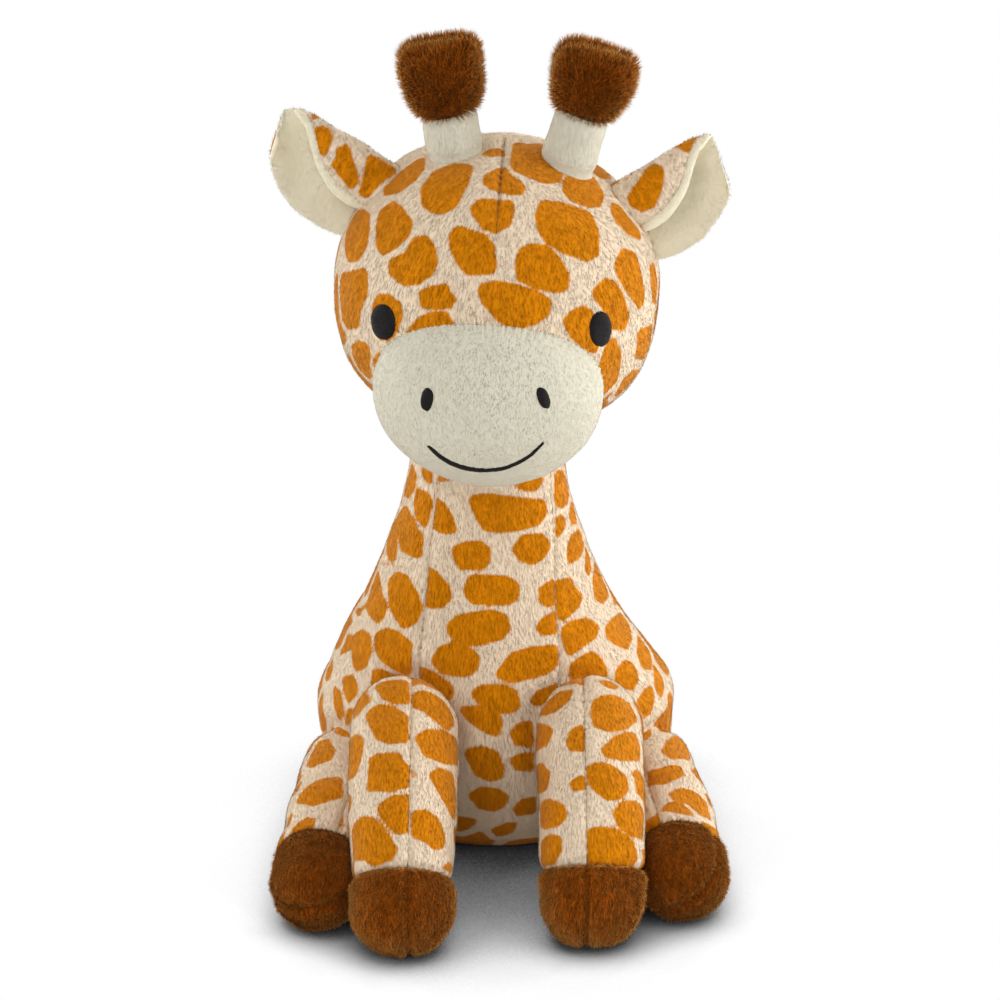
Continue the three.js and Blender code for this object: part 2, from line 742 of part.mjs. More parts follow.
place('tail', tailForm(), printed());
place('tail_tuft', tuftForm(), brown());

export default giraffe;
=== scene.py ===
"""Plush giraffe, sitting: cloth skins, pile, print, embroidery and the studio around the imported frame."""
import math
from typing import NamedTuple

import bpy
import numpy as np
from bpy.props import FloatProperty, FloatVectorProperty, PointerProperty
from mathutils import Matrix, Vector
from mathutils.bvhtree import BVHTree


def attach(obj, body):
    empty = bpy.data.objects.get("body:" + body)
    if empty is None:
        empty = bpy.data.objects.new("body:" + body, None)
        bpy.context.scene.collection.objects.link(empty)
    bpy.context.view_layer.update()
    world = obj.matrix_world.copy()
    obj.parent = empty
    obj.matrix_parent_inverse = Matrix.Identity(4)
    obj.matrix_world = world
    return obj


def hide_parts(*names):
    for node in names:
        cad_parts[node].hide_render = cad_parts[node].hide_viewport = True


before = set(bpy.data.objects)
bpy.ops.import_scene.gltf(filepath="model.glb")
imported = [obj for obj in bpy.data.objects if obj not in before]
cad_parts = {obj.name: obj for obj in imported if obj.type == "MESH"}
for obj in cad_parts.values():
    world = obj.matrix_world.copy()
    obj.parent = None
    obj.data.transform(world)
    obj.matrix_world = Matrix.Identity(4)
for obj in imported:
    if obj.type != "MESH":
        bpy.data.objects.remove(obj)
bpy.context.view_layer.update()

bl_info = {
    "name": "Plush giraffe",
    "version": (1, 0, 0),
    "blender": (4, 5, 0),
    "location": "3D View > Sidebar > Giraffe",
    "description": "Sews the skins, pile, print and embroidery of a sitting plush giraffe",
    "category": "Object",
}

MM = 0.001
PIXELS = 1000  # width and height of the picture
SENSOR = 36  # width of the camera's sensor in millimetres
FLOOR_REACH = 12 * MM  # cloth below this height is pressed on the floor
X_AXIS, Y_AXIS, Z_AXIS = np.eye(3)


def paint(red, green, blue):
    """A colour as a screen shows it, turned into the linear value that a shader takes."""
    def linear(value):
        value /= 255
        return value / 12.92 if value <= 0.04045 else ((value + 0.055) / 1.055) ** 2.4
    return (linear(red), linear(green), linear(blue))


# Settings


def length(name, description, millimetres):
    """A setting given in millimetres and kept in metres."""
    return FloatProperty(name=name, description=description, default=millimetres * MM, min=0.0,
                         unit="LENGTH", precision=5)


def colour(name, description, value):
    """A setting that holds a linear colour."""
    return FloatVectorProperty(name=name, description=description, default=value, subtype="COLOR",
                               min=0.0, max=1.0)


class PlushSettings(bpy.types.PropertyGroup):
    cloth: length("Cloth thickness", "Thickness of the knitted ground of the plush", 1.6)
    lift: length("Skin lift", "How far the skin lies outside the plain solids", 0.5)
    pile: length("Pile length", "Length of the fibres of the printed pile", 1.8)
    short_pile: length("Short pile length", "Length of the fibres of the cream pile", 0.9)
    long_pile: length("Long pile length", "Length of the fibres of the brown pile", 3.2)
    fibre: length("Fibre width", "Half width of a tuft of pile at its root", 0.13)
    thick_fibre: length("Thick fibre width", "Half width of a tuft of the brown pile at its root", 0.17)
    fine_fibre: length("Fine fibre width", "Half width of a tuft of the cream pile at its root", 0.08)
    channel: length("Print channel", "Pale channel between two spots of the print", 3.1)
    spots: colour("Spots", "Ochre of the printed spots", paint(212, 127, 3))
    ground: colour("Ground", "Pale ground of the print", paint(230, 208, 180))
    cream: colour("Cream", "Cream plush of muzzle and horns", paint(208, 203, 183))
    # The ears' cream is the same cream cloth painted lighter and warmer: painted light for the warm glow and bounce
    # inside the ears' shaded bowls
    ear_cream: colour("Ear cream", "Warm cream plush inside the ears", paint(236, 227, 199))
    brown: colour("Brown", "Brown plush of hooves and horn tips", paint(153, 76, 10))
    thread: colour("Thread", "Dark embroidery thread", paint(24, 21, 21))


class BodySettings(bpy.types.PropertyGroup):
    height: length("Body height", "From the seat to the top of the neck", 172)
    half_width: length("Body half width", "Widest half of the body", 66)
    half_depth: length("Body half depth", "Deepest half of the body", 56)
    neck: length("Neck radius", "Radius of the neck", 27)
    setback: length("Body setback", "How far the body's middle lies behind the neck", 3)
    sway: length("Body sway", "How far the neck leans to the giraffe's right of the seat", 3.7)
    strip_top: length("Front panel at the top", "Half width of the front panel at the neck", 18.6)
    strip_bottom: length("Front panel at the seat", "Half width of the front panel at the seat", 31.3)
    strip_aside: length("Front panel aside", "How far the front panel stands off the middle at the seat", 4.8)
    seat_width: length("Seat panel half width", "Half width of the seat panel", 40)
    seat_depth: length("Seat panel half depth", "Half depth of the seat panel", 34)


class HeadSettings(bpy.types.PropertyGroup):
    half_width: length("Head half width", "Half width of the head", 58.5)
    half_depth: length("Head half depth", "Half depth of the head", 55.5)
    half_height: length("Head half height", "Half height of the head", 54.5)
    muzzle_width: length("Muzzle half width", "Half width of the muzzle", 40)
    muzzle_depth: length("Muzzle half depth", "Half depth of the muzzle", 29)
    muzzle_height: length("Muzzle half height", "Half height of the muzzle", 33.7)
    blend: length("Muzzle blend", "How softly the muzzle runs into the face", 3)
    cheeks: FloatProperty(name="Full cheeks", description="Roundness of the head's lower sides; 2 is a plain ball",
                          default=2.6)
    flat_top: FloatProperty(name="Flat top", description="Share that the top of the head is pressed down",
                            default=0.03)


class LegSettings(bpy.types.PropertyGroup):
    hoof: length("Hoof length", "From a hoof's ring seam to its tip", 26)


class HornSettings(bpy.types.PropertyGroup):
    apart: length("Horn distance", "From the head's middle to a horn", 19.4)
    aside: length("Horns aside", "How far the pair stands off the head's middle", 2.9)
    back: length("Horns forward", "How far the horns stand before the head's middle", 8)
    lean: FloatProperty(name="Horn lean", description="How far a horn leans outward",
                        default=math.radians(12.5), subtype="ANGLE")
    stalk: length("Stalk radius", "Radius of the cream stalk at its root", 9.6)
    stalk_height: length("Stalk height", "From the head to the brown tip", 19.4)
    uneven: length("Uneven horns", "How much the left stalk is taller than the mean", 2.4)
    tip_width: length("Tip half width", "Half width of the brown tip", 13.0)
    tip_depth: length("Tip half depth", "Half depth of the brown tip", 10)
    tip_height: length("Tip height", "Height of the brown tip", 24.4)
    tip_uneven: length("Uneven tips", "How much the right tip is taller than the mean", 1.0)


class EarSettings(bpy.types.PropertyGroup):
    length: length("Ear length", "From the head to the ear's end", 43)
    fold: FloatProperty(name="Fold shortening", description="How much shorter the ear is along its fold",
                        default=0.105)
    outer: length("Printed side", "How far the printed side stands off the ear's middle", 1.6)
    inner: length("Cream side", "How far the cream side stands off the ear's middle", 2.0)
    lip: length("Cream lip", "How far the cream cloth rolls past the rim", 3.0)
    lip_width: length("Lip half width", "Half width of the padded lip along the fold's edge", 2.5)
    lip_depth: length("Lip half depth", "Half thickness of the padded lip along the fold's edge", 1.5)


class TailSettings(bpy.types.PropertyGroup):
    root: length("Tail root radius", "Radius of the tail at the body", 5.2)
    end: length("Tail end radius", "Radius of the tail at the tuft", 4.2)
    tuft: length("Tuft radius", "Radius of the brown tuft", 6.2)
    tuft_length: length("Tuft length", "Length of the brown tuft", 23)
    fibres: length("Tuft fibres", "Length of the tuft's fibres", 5)


class EmbroiderySettings(bpy.types.PropertyGroup):
    thread: length("Thread radius", "Radius of the embroidery thread", 0.2)
    pitch: length("Thread pitch", "From one thread to the next", 0.4)
    eye_rise: length("Eye rise", "How far the eyes' padding stands up", 1.1)
    nostril_rise: length("Nostril rise", "How far the nostrils' padding stands up", 0.6)


class StageSettings(bpy.types.PropertyGroup):
    distance: length("Camera distance", "From the camera to the giraffe's middle", 1250)
    aim: length("Camera aim", "Height that the camera looks at", 123.4)
    elevation: FloatProperty(name="Camera elevation", description="How far the camera looks down",
                             default=math.radians(22), subtype="ANGLE")
    lens: FloatProperty(name="Lens", description="Focal length in millimetres", default=121.56)
    shift: FloatProperty(name="Shift", description="Sideways shift of the lens", default=0.003)
    backdrop: colour("Backdrop", "Colour of the floor and backdrop", (0.9, 0.9, 0.9))


GROUPS = {"plush": PlushSettings, "body": BodySettings, "head": HeadSettings, "legs": LegSettings,
          "horns": HornSettings, "ears": EarSettings, "tail": TailSettings,
          "embroidery": EmbroiderySettings, "stage": StageSettings}


def settings(part):
    """The scene's own settings of one part."""
    return getattr(bpy.context.scene, f"giraffe_{part}")


# Curves and noise


def smooth_curve(knots, values, at):
    """Monotone cubic through the knots, so that an outline swells without overshooting."""
    knots, values, at = (np.asarray(row, float) for row in (knots, values, at))
    step, rise = np.diff(knots), np.diff(values)
    slope = rise / step
    tangent = np.zeros_like(values)
    same = slope[:-1] * slope[1:] > 0
    before, after = 2 * step[1:] + step[:-1], step[1:] + 2 * step[:-1]
    harmonic = (before + after) / (before / np.where(same, slope[:-1], 1) + after / np.where(same, slope[1:], 1))
    tangent[1:-1] = np.where(same, harmonic, 0)
    tangent[0], tangent[-1] = slope[0], slope[-1]
    k = np.clip(np.searchsorted(knots, at) - 1, 0, len(step) - 1)
    t = np.clip((at - knots[k]) / step[k], 0, 1)
    start = (1 + 2 * t) * (1 - t) ** 2 * values[k] + t * (1 - t) ** 2 * step[k] * tangent[k]
    return start + t ** 2 * (3 - 2 * t) * values[k + 1] + t ** 2 * (t - 1) * step[k] * tangent[k + 1]


def ripple(points, wavelength, seed, waves=14):
    """Smooth lumps between about -1 and 1, the same each run."""
    rng = np.random.RandomState(seed)
    total = np.zeros(len(points))
    for _ in range(waves):
        direction = rng.normal(size=3)
        direction /= np.linalg.norm(direction)
        rate = 2 * math.pi / (wavelength * rng.uniform(0.7, 1.6))
        total += np.sin(points @ direction * rate + rng.uniform(0, 2 * math.pi))
    return total / math.sqrt(waves)


def unit(rows):
    """Rows scaled to a length of one."""
    return rows / np.maximum(np.linalg.norm(rows, axis=-1, keepdims=True), 1e-12)


def ramp(value, reach):
    """From 0 to 1 over a reach, and level outside it."""
    return np.clip(value / reach, 0, 1)


def turns(count):
    """Angles evenly round a full turn."""
    return np.linspace(0, 2 * math.pi, count, endpoint=False)


def run_along(rows):
    """How far along their path some points lie."""
    return np.concatenate([[0], np.cumsum(np.linalg.norm(np.diff(rows, axis=0), axis=1))])


def lumps(points, *waves):
    """Uneven filling under the cloth: ripples, each with its wavelength and height in millimetres and its seed."""
    return sum(ripple(points, wavelength * MM, seed) * height * MM for wavelength, height, seed in waves)


# Surfaces: points, triangles and values at the points


def lathe_faces(rings, around):
    """Triangles of a surface made of a first point, rings of points and a last point."""
    k = np.arange(around)
    after = (k + 1) % around
    first = np.stack([np.zeros_like(k), 1 + after, 1 + k], 1)
    base = 1 + np.arange(rings - 1)[:, None] * around
    a, b = base + k, base + after
    c, d = b + around, a + around
    sides = np.concatenate([np.stack([a, b, c], -1).reshape(-1, 3), np.stack([a, c, d], -1).reshape(-1, 3)])
    end = 1 + rings * around
    top = 1 + (rings - 1) * around
    last = np.stack([np.full_like(k, end), top + k, top + after], 1)
    return np.concatenate([first, sides, last])


def faced_out(points, faces):
    """The triangles, turned over if they face inward."""
    a, b, c = (points[faces[:, k]] for k in range(3))
    volume = np.einsum("ij,ij->i", a, np.cross(b, c)).sum()
    return faces if volume > 0 else faces[:, ::-1]


def normals_of(points, faces):
    """The way that the surface faces at each point."""
    a, b, c = (points[faces[:, k]] for k in range(3))
    flat = np.cross(b - a, c - a)
    rows = np.zeros_like(points)
    for k in range(3):
        np.add.at(rows, faces[:, k], flat)
    return unit(rows)


def edges_of(faces):
    """The three edges of every triangle."""
    return np.concatenate([faces[:, [0, 1]], faces[:, [1, 2]], faces[:, [2, 0]]])


def split_along(points, faces, side):
    """Slides the points nearest a seam onto it, and tells which triangles lie on its positive side."""
    a, b = np.unique(np.sort(edges_of(faces), axis=1), axis=0).T
    crossing = side[a] * side[b] < 0
    a, b = a[crossing], b[crossing]
    t = side[a] / (side[a] - side[b])
    mover, other, move = np.where(t < 0.5, a, b), np.where(t < 0.5, b, a), np.where(t < 0.5, t, 1 - t)
    order = np.argsort(-move)
    moved, value = points.copy(), side.copy()
    moved[mover[order]] = points[mover[order]] + (points[other[order]] - points[mover[order]]) * move[order][:, None]
    value[mover] = 0
    return moved, value[faces].sum(axis=1) > 0


def closed_cloth(points, faces, thickness, values):
    """A sheet given its thickness inward and closed all round its edge."""
    normals = normals_of(points, faces)
    used, faces = np.unique(faces, return_inverse=True)
    faces = faces.reshape(-1, 3)
    count = len(used)
    outer = points[used]
    inner = outer - normals[used] * np.broadcast_to(thickness, len(points))[used][:, None]
    edges = edges_of(faces)
    _, index, uses = np.unique(np.sort(edges, axis=1), axis=0, return_index=True, return_counts=True)
    rim = edges[index[uses == 1]]
    walls = np.concatenate([np.stack([rim[:, 1], rim[:, 0], rim[:, 0] + count], 1),
                            np.stack([rim[:, 1], rim[:, 0] + count, rim[:, 1] + count], 1)])
    all_faces = np.concatenate([faces, faces[:, ::-1] + count, walls])
    both = {name: np.concatenate([row[used], row[used]]) for name, row in values.items()}
    both["outside"] = np.concatenate([np.ones(count), np.zeros(count)])
    return np.concatenate([outer, inner]), all_faces, both


def lathe(first, rows, last):
    """A closed surface made of a first point, rings of points and a last point."""
    points = np.concatenate([[first], rows.reshape(-1, 3), [last]])
    return points, faced_out(points, lathe_faces(*rows.shape[:2]))


def pillow(levels, wide, deep, around, power=2.0):
    """A closed form of level rings, one above the other; a higher power makes them squarer."""
    angle = turns(around)
    across, along = (np.sign(turn) * np.abs(turn) ** (2 / power) for turn in (np.cos(angle), np.sin(angle)))
    heights = np.broadcast_to(levels[:, None], (len(levels), around))
    rows = np.stack([wide[:, None] * across, deep[:, None] * along, heights], -1)
    return lathe((0, 0, levels[0]), rows, (0, 0, levels[-1]))


def grid_faces(rows, columns):
    """Triangles of a sheet of points in rows."""
    corner = (np.arange(rows - 1)[:, None] * columns + np.arange(columns - 1)).ravel()
    a, b, c, d = corner, corner + 1, corner + columns + 1, corner + columns
    return np.concatenate([np.stack([a, b, c], 1), np.stack([a, c, d], 1)])


def mesh_object(name, points, faces, values, edges=()):
    """A smooth object of points and triangles, with the values that its points carry."""
    mesh = bpy.data.meshes.new(name)
    mesh.from_pydata(points.tolist(), list(edges), faces.tolist())
    for key, row in values.items():
        if row.ndim == 1:
            mesh.attributes.new(key, "FLOAT", "POINT").data.foreach_set("value", row.astype(np.float32))
        else:
            flat = row.astype(np.float32).ravel()
            mesh.attributes.new(key, "FLOAT_VECTOR", "POINT").data.foreach_set("vector", flat)
    mesh.polygons.foreach_set("use_smooth", [True] * len(mesh.polygons))
    mesh.update()
    piece = bpy.data.objects.new(name, mesh)
    bpy.context.scene.collection.objects.link(piece)
    return piece


# Charts: where a point of a skin lies on its own flat picture

CHART_RADIUS = 60 * MM


def chart_about(points, centre, axis):
    """Spreads a cap round an axis flat, like a map seen from above the pole."""
    away = unit(points - centre)
    axis = axis / np.linalg.norm(axis)
    side = unit(np.cross(axis, [0.31, 0.87, 0.38]))
    up = np.cross(axis, side)
    angle = np.arccos(np.clip(away @ axis, -1, 1))
    flat = np.stack([away @ side, away @ up], 1)
    return unit(flat) * angle[:, None]


def chart_round(points, turn):
    """Unrolls a skin that goes part of the way round the upright axis; turn is its middle direction."""
    angle = np.arctan2(points[:, 0], -points[:, 1]) - turn
    angle = (angle + math.pi) % (2 * math.pi) - math.pi
    return np.stack([angle, points[:, 2] / CHART_RADIUS], 1)


def framed(chart):
    """A chart moved and scaled into the square picture, with a narrow margin."""
    low, high = chart.min(axis=0), chart.max(axis=0)
    return 0.01 + 0.98 * (chart - low) / (high - low).max()


# Print

BARE = -1.0  # far outside any spot


def view_axes():
    """The camera's place, the way it looks and its own upward direction."""
    stage = settings("stage")
    forward = np.array([0, math.cos(stage.elevation), -math.sin(stage.elevation)])
    up = np.array([0, math.sin(stage.elevation), math.cos(stage.elevation)])
    return np.array([0, 0, stage.aim]) - forward * stage.distance, forward, up


def sight(u, v):
    """The line of sight through a point of the picture."""
    stage = settings("stage")
    camera, forward, up = view_axes()
    focal = stage.lens / SENSOR * PIXELS
    across = (u - PIXELS / 2 + stage.shift * PIXELS) / focal
    return camera, unit(forward + X_AXIS * across + up * (PIXELS / 2 - v) / focal)


class Surface:
    """A form that lines of sight are dropped onto."""

    def __init__(self, points, faces):
        self.tree = BVHTree.FromPolygons(points.tolist(), faces.tolist())

    def hit(self, u, v):
        """Where the line of sight through a point of the picture first meets the form, and its facing."""
        start, line = sight(u, v)
        found = self.tree.ray_cast(Vector(start), Vector(line))
        return (None, None) if found[0] is None else (np.array(found[0]), np.array(found[1]))


def picture_place(points):
    """Where points show in the picture: across and down."""
    stage = settings("stage")
    camera, forward, up = view_axes()
    away = points - camera
    scale = stage.lens / SENSOR * PIXELS / (away @ forward)
    return PIXELS * (0.5 - stage.shift) + away @ X_AXIS * scale, PIXELS / 2 - away @ up * scale


def outline_depth(points, corners):
    """How far inside a flat outline each flat point lies; below zero outside it."""
    nearest = np.full(len(points), np.inf)
    inside = np.zeros(len(points), bool)
    for a, b in zip(corners, np.roll(corners, -1, axis=0)):
        run, offset = b - a, points - a
        share = np.clip(offset @ run / max(run @ run, 1e-12), 0, 1)
        nearest = np.minimum(nearest, np.linalg.norm(offset - share[:, None] * run, axis=1))
        level = points[:, 1]
        if a[1] != b[1]:
            crosses = (a[1] > level) != (b[1] > level)
            inside ^= crosses & (points[:, 0] < a[0] + (level - a[1]) * run[0] / run[1])
    return np.where(inside, nearest, -nearest)


class Spots:
    """The printed spots of one cloth panel."""

    FAR = 50 * MM
    REACH = 24 * MM  # a drawn corner lies no further than this from its spot's middle
    ROUNDING = 0.35  # share of a drawn spot's inner radius that its corners are rounded by
    SHRINK = 0.8  # how much of that rounding the outline is drawn in by beforehand
    SOFT = 0.8 * MM  # how softly the sides of a spread spot meet
    SQUARE = 2.6  # how square a spread spot is; 2 is an ellipse
    FACING = 0.22  # cloth that faces the camera less than this isn't counted as shown
    ROOM_SHOWN, ROOM_HIDDEN = 0.85, 0.36  # free room that a spread spot needs, as a share of the spacing
    LEAN, SLIM, HALF = 0.45, (0.85, 1.2), (0.56, 0.68)  # a spread spot's lean, slimness and half size
    TRIES, CHUNK = 9000, 4000

    def __init__(self, surface=None, table=()):
        """Drops spots onto a form; each row of the table is a spot's outline in the picture."""
        self.drawn, self.spread = [], []
        for outline in table:
            outline = np.array(outline, float).reshape(-1, 2)
            middle, normal = surface.hit(*outline.mean(axis=0))
            if middle is None:
                hits = [hit for hit in (surface.hit(*place) for place in outline) if hit[0] is not None]
                if not hits:
                    continue
                middle, normal = hits[0]
            across = unit(np.cross(Z_AXIS + 0.01 * Y_AXIS, normal))
            axes = np.stack([across, np.cross(normal, across)])
            corners = np.array([self.dropped(surface, place, middle, normal) for place in outline]) @ axes.T
            centre = corners.mean(axis=0)
            after = np.roll(corners, -1, axis=0)
            area = abs((corners[:, 0] * after[:, 1] - corners[:, 1] * after[:, 0]).sum()) / 2
            inner = 2 * area / np.linalg.norm(after - corners, axis=1).sum()
            rounding = inner * self.ROUNDING
            shrunk = centre + (corners - centre) * (1 - self.ROUNDING * self.SHRINK)
            self.drawn.append((middle, normal, axes, shrunk, rounding))

    def dropped(self, surface, place, middle, normal):
        """A corner's offset from the spot's middle, on the form or on the plane that touches it."""
        found = surface.hit(*place)[0]
        if found is None or np.linalg.norm(found - middle) > self.REACH:
            start, line = sight(*place)
            slope = line @ normal
            found = start + line * ((middle - start) @ normal / (slope if abs(slope) > 0.2 else -0.2))
        offset = found - middle
        size = np.linalg.norm(offset)
        return offset * min(1, self.REACH / max(size, 1e-9))

    def drawn_value(self, points):
        """How far inside a drawn spot each point lies."""
        value = np.full(len(points), -self.FAR)
        for middle, normal, axes, corners, rounding in self.drawn:
            offset = points - middle
            size = np.linalg.norm(corners, axis=1).max()
            near = np.flatnonzero((np.linalg.norm(offset, axis=1) < size + self.REACH)
                                  & (np.abs(offset @ normal) < 0.9 * size + 3 * MM))
            value[near] = np.maximum(value[near], outline_depth(offset[near] @ axes.T, corners) + rounding)
        return value

    def fill(self, points, normals, spacing, seed, upright=1.0):
        """Spreads more spots evenly over what the picture doesn't show; upright makes them taller."""
        rng = np.random.RandomState(seed)
        shown = np.einsum("ij,ij->i", normals, unit(view_axes()[0] - points)) > self.FACING
        room = np.where(shown & (len(self.drawn) > 0), self.ROOM_SHOWN, self.ROOM_HIDDEN) * spacing
        free = np.flatnonzero(-self.drawn_value(points) > room)
        taken = np.zeros((0, 3))
        for index in rng.permutation(free)[:self.TRIES]:
            place, normal = points[index], normals[index]
            if len(taken) and np.linalg.norm(taken - place, axis=1).min() < spacing:
                continue
            across = np.cross(Z_AXIS, normal)
            across = unit(across if np.linalg.norm(across) > 0.05 else np.cross(Y_AXIS, normal))
            along = np.cross(normal, across)
            lean = rng.uniform(-self.LEAN, self.LEAN)
            across, along = (across * math.cos(lean) + along * math.sin(lean),
                             along * math.cos(lean) - across * math.sin(lean))
            slim = rng.uniform(*self.SLIM) / upright
            half = spacing * rng.uniform(*self.HALF)
            self.spread.append((place, across * half * slim, along * half / slim))
            taken = np.concatenate([taken, [place]])
        return self

    def spread_value(self, points):
        """How far inside a spread spot each point lies, with a channel kept between neighbours."""
        channel = settings("plush").channel
        middle, wide, high = (np.array(column) for column in zip(*self.spread))
        wide_length, high_length = np.linalg.norm(wide, axis=1), np.linalg.norm(high, axis=1)
        size = np.sqrt(wide_length * high_length)
        normal = unit(np.cross(wide, high))
        result = np.empty(len(points))
        for start in range(0, len(points), self.CHUNK):
            some = slice(start, start + self.CHUNK)
            offset = points[some, None, :] - middle[None]
            a = np.einsum("nmk,mk->nm", offset, wide / wide_length[:, None] ** 2)
            b = np.einsum("nmk,mk->nm", offset, high / high_length[:, None] ** 2)
            c = np.einsum("nmk,mk->nm", offset, normal) / size
            power = self.SQUARE
            reach = (np.abs(a) ** power + np.abs(b) ** power + np.abs(c) ** power) ** (1 / power)
            own = reach.argmin(axis=1)
            row = np.arange(len(own))
            least = reach[row, own]
            border = (reach - least[:, None]) / (1 / size[own][:, None] + 1 / size[None]) - channel / 2
            border[row, own] = (1 - least) * size[own]
            low = border.min(axis=1)
            result[some] = low - self.SOFT * np.log(np.exp(-(border - low[:, None]) / self.SOFT).sum(axis=1))
        return result

    def value(self, points):
        """How far inside a spot each point lies; below zero on the pale ground."""
        drawn = self.drawn_value(points)
        if not self.spread:
            return drawn
        return np.maximum(drawn, np.minimum(self.spread_value(points), -drawn - settings("plush").channel))


def print_on(points, normals, part, spots, spacing, seed, upright=1.0):
    """The print's value at one panel's points: its drawn spots, and more of them spread over the rest."""
    own = np.unique(part)
    value = np.full(len(points), BARE)
    value[own] = spots.fill(points[own], normals[own], spacing, seed, upright).value(points[own])
    return value


# Node trees

NOISE_SPAN = (0.3, 0.7)  # most values of a noise lie here
WHOLE_SPAN = (0.0, 1.0)


class Nodes:
    """A node tree in the making: each node is added with its inputs linked or set."""

    def __init__(self, tree):
        self.add, self.link = tree.nodes.new, tree.links.new

    def node(self, kind, inputs=(), **options):
        """One node. An input goes by its name or number, and takes another node's output or a constant."""
        node = self.add(kind)
        for key, value in options.items():
            setattr(node, key, value)
        for key, value in dict(inputs).items():
            if isinstance(value, bpy.types.NodeSocket):
                self.link(value, node.inputs[key])
            else:
                node.inputs[key].default_value = value
        return node

    def maths(self, kind, *values):
        """A number worked out from others."""
        return self.node("ShaderNodeMath", enumerate(values), operation=kind).outputs[0]

    def vector(self, kind, first, second):
        """A vector worked out from another vector and a second vector or a scale."""
        inputs = {0: first, "Scale" if kind == "SCALE" else 1: second}
        return self.node("ShaderNodeVectorMath", inputs, operation=kind).outputs[0]

    def spread(self, value, source, target):
        """Moves a value from one span to another."""
        limits = zip(("From Min", "From Max", "To Min", "To Max"), (*source, *target))
        return self.node("ShaderNodeMapRange", {"Value": value, **dict(limits)}).outputs["Result"]

    def noise(self, place, scale):
        """Soft noise, with its scale in lumps a metre."""
        inputs = {"Vector": place, "Scale": scale, "Detail": 2.0, "Roughness": 0.5}
        return self.node("ShaderNodeTexNoise", inputs).outputs["Fac"]

    def mix(self, kind, amount, *colours):
        """Blends two colours, each an output or a constant."""
        first, second = (value if isinstance(value, bpy.types.NodeSocket) else (*value, 1.0) for value in colours)
        inputs = {0: amount, 6: first, 7: second}
        return self.node("ShaderNodeMix", inputs, data_type="RGBA", blend_type=kind).outputs[2]

    def read(self, key, kind="FLOAT"):
        """A value that the piece's points carry."""
        return self.node("GeometryNodeInputNamedAttribute", {"Name": key}, data_type=kind).outputs["Attribute"]

    def stored(self, geometry, key, value, kind="FLOAT"):
        """The geometry with a value that its points carry."""
        inputs = {"Name": key, "Geometry": geometry, "Value": value}
        return self.node("GeometryNodeStoreNamedAttribute", inputs, data_type=kind, domain="POINT").outputs[0]

    def joined(self, *geometries):
        """Several geometries as one."""
        join = self.add("GeometryNodeJoinGeometry")
        for geometry in geometries:
            self.link(geometry, join.inputs["Geometry"])
        return join.outputs["Geometry"]


def emptied(block):
    """The node tree of a new material or world, ready to be filled."""
    block.use_nodes = True
    block.node_tree.nodes.clear()
    return Nodes(block.node_tree)


class Cloth(NamedTuple):
    """One kind of plush: its looks, and how its pile grows where a piece asks for nothing else."""

    slot: str
    material: str
    colours: tuple  # names of plush settings: the ground, then the print
    contrast: float
    smooth: float  # share of the skin's own direction in the light that a tuft catches
    glow: float
    glow_tint: tuple
    relief: float
    pile: str  # names of plush settings: the length of a tuft and its half width
    fibre: str
    flat: float  # a tuft's thickness as a share of its width
    lean: float
    stray: float


PRINTED = Cloth("printed_plush", "printed_pile", ("ground", "spots"), 0.7, 0.88, 0.22, (1.0, 0.85, 0.6), 0.18 * MM,
                "pile", "fibre", 0.35, 1.4, 0.11)
CREAM = Cloth("cream_plush", "cream_pile", ("cream",), 0.25, 1.0, 0.15, (1.0, 1.0, 0.95), 0.08 * MM,
              "short_pile", "fine_fibre", 0.35, 1.5, 0.05)
# The cream pile again, with the lighter, warmer ear colour: painted light for the shaded bowls of the ears
EAR_CREAM_PAINTED_LIGHT = CREAM._replace(material="ear_cream_pile", colours=("ear_cream",))
BROWN = Cloth("brown_plush", "brown_pile", ("brown",), 5.5, 0.5, 1.0, (1.0, 0.55, 0.16), 0.7 * MM,
              "long_pile", "thick_fibre", 1.0, 0.85, 0.28)


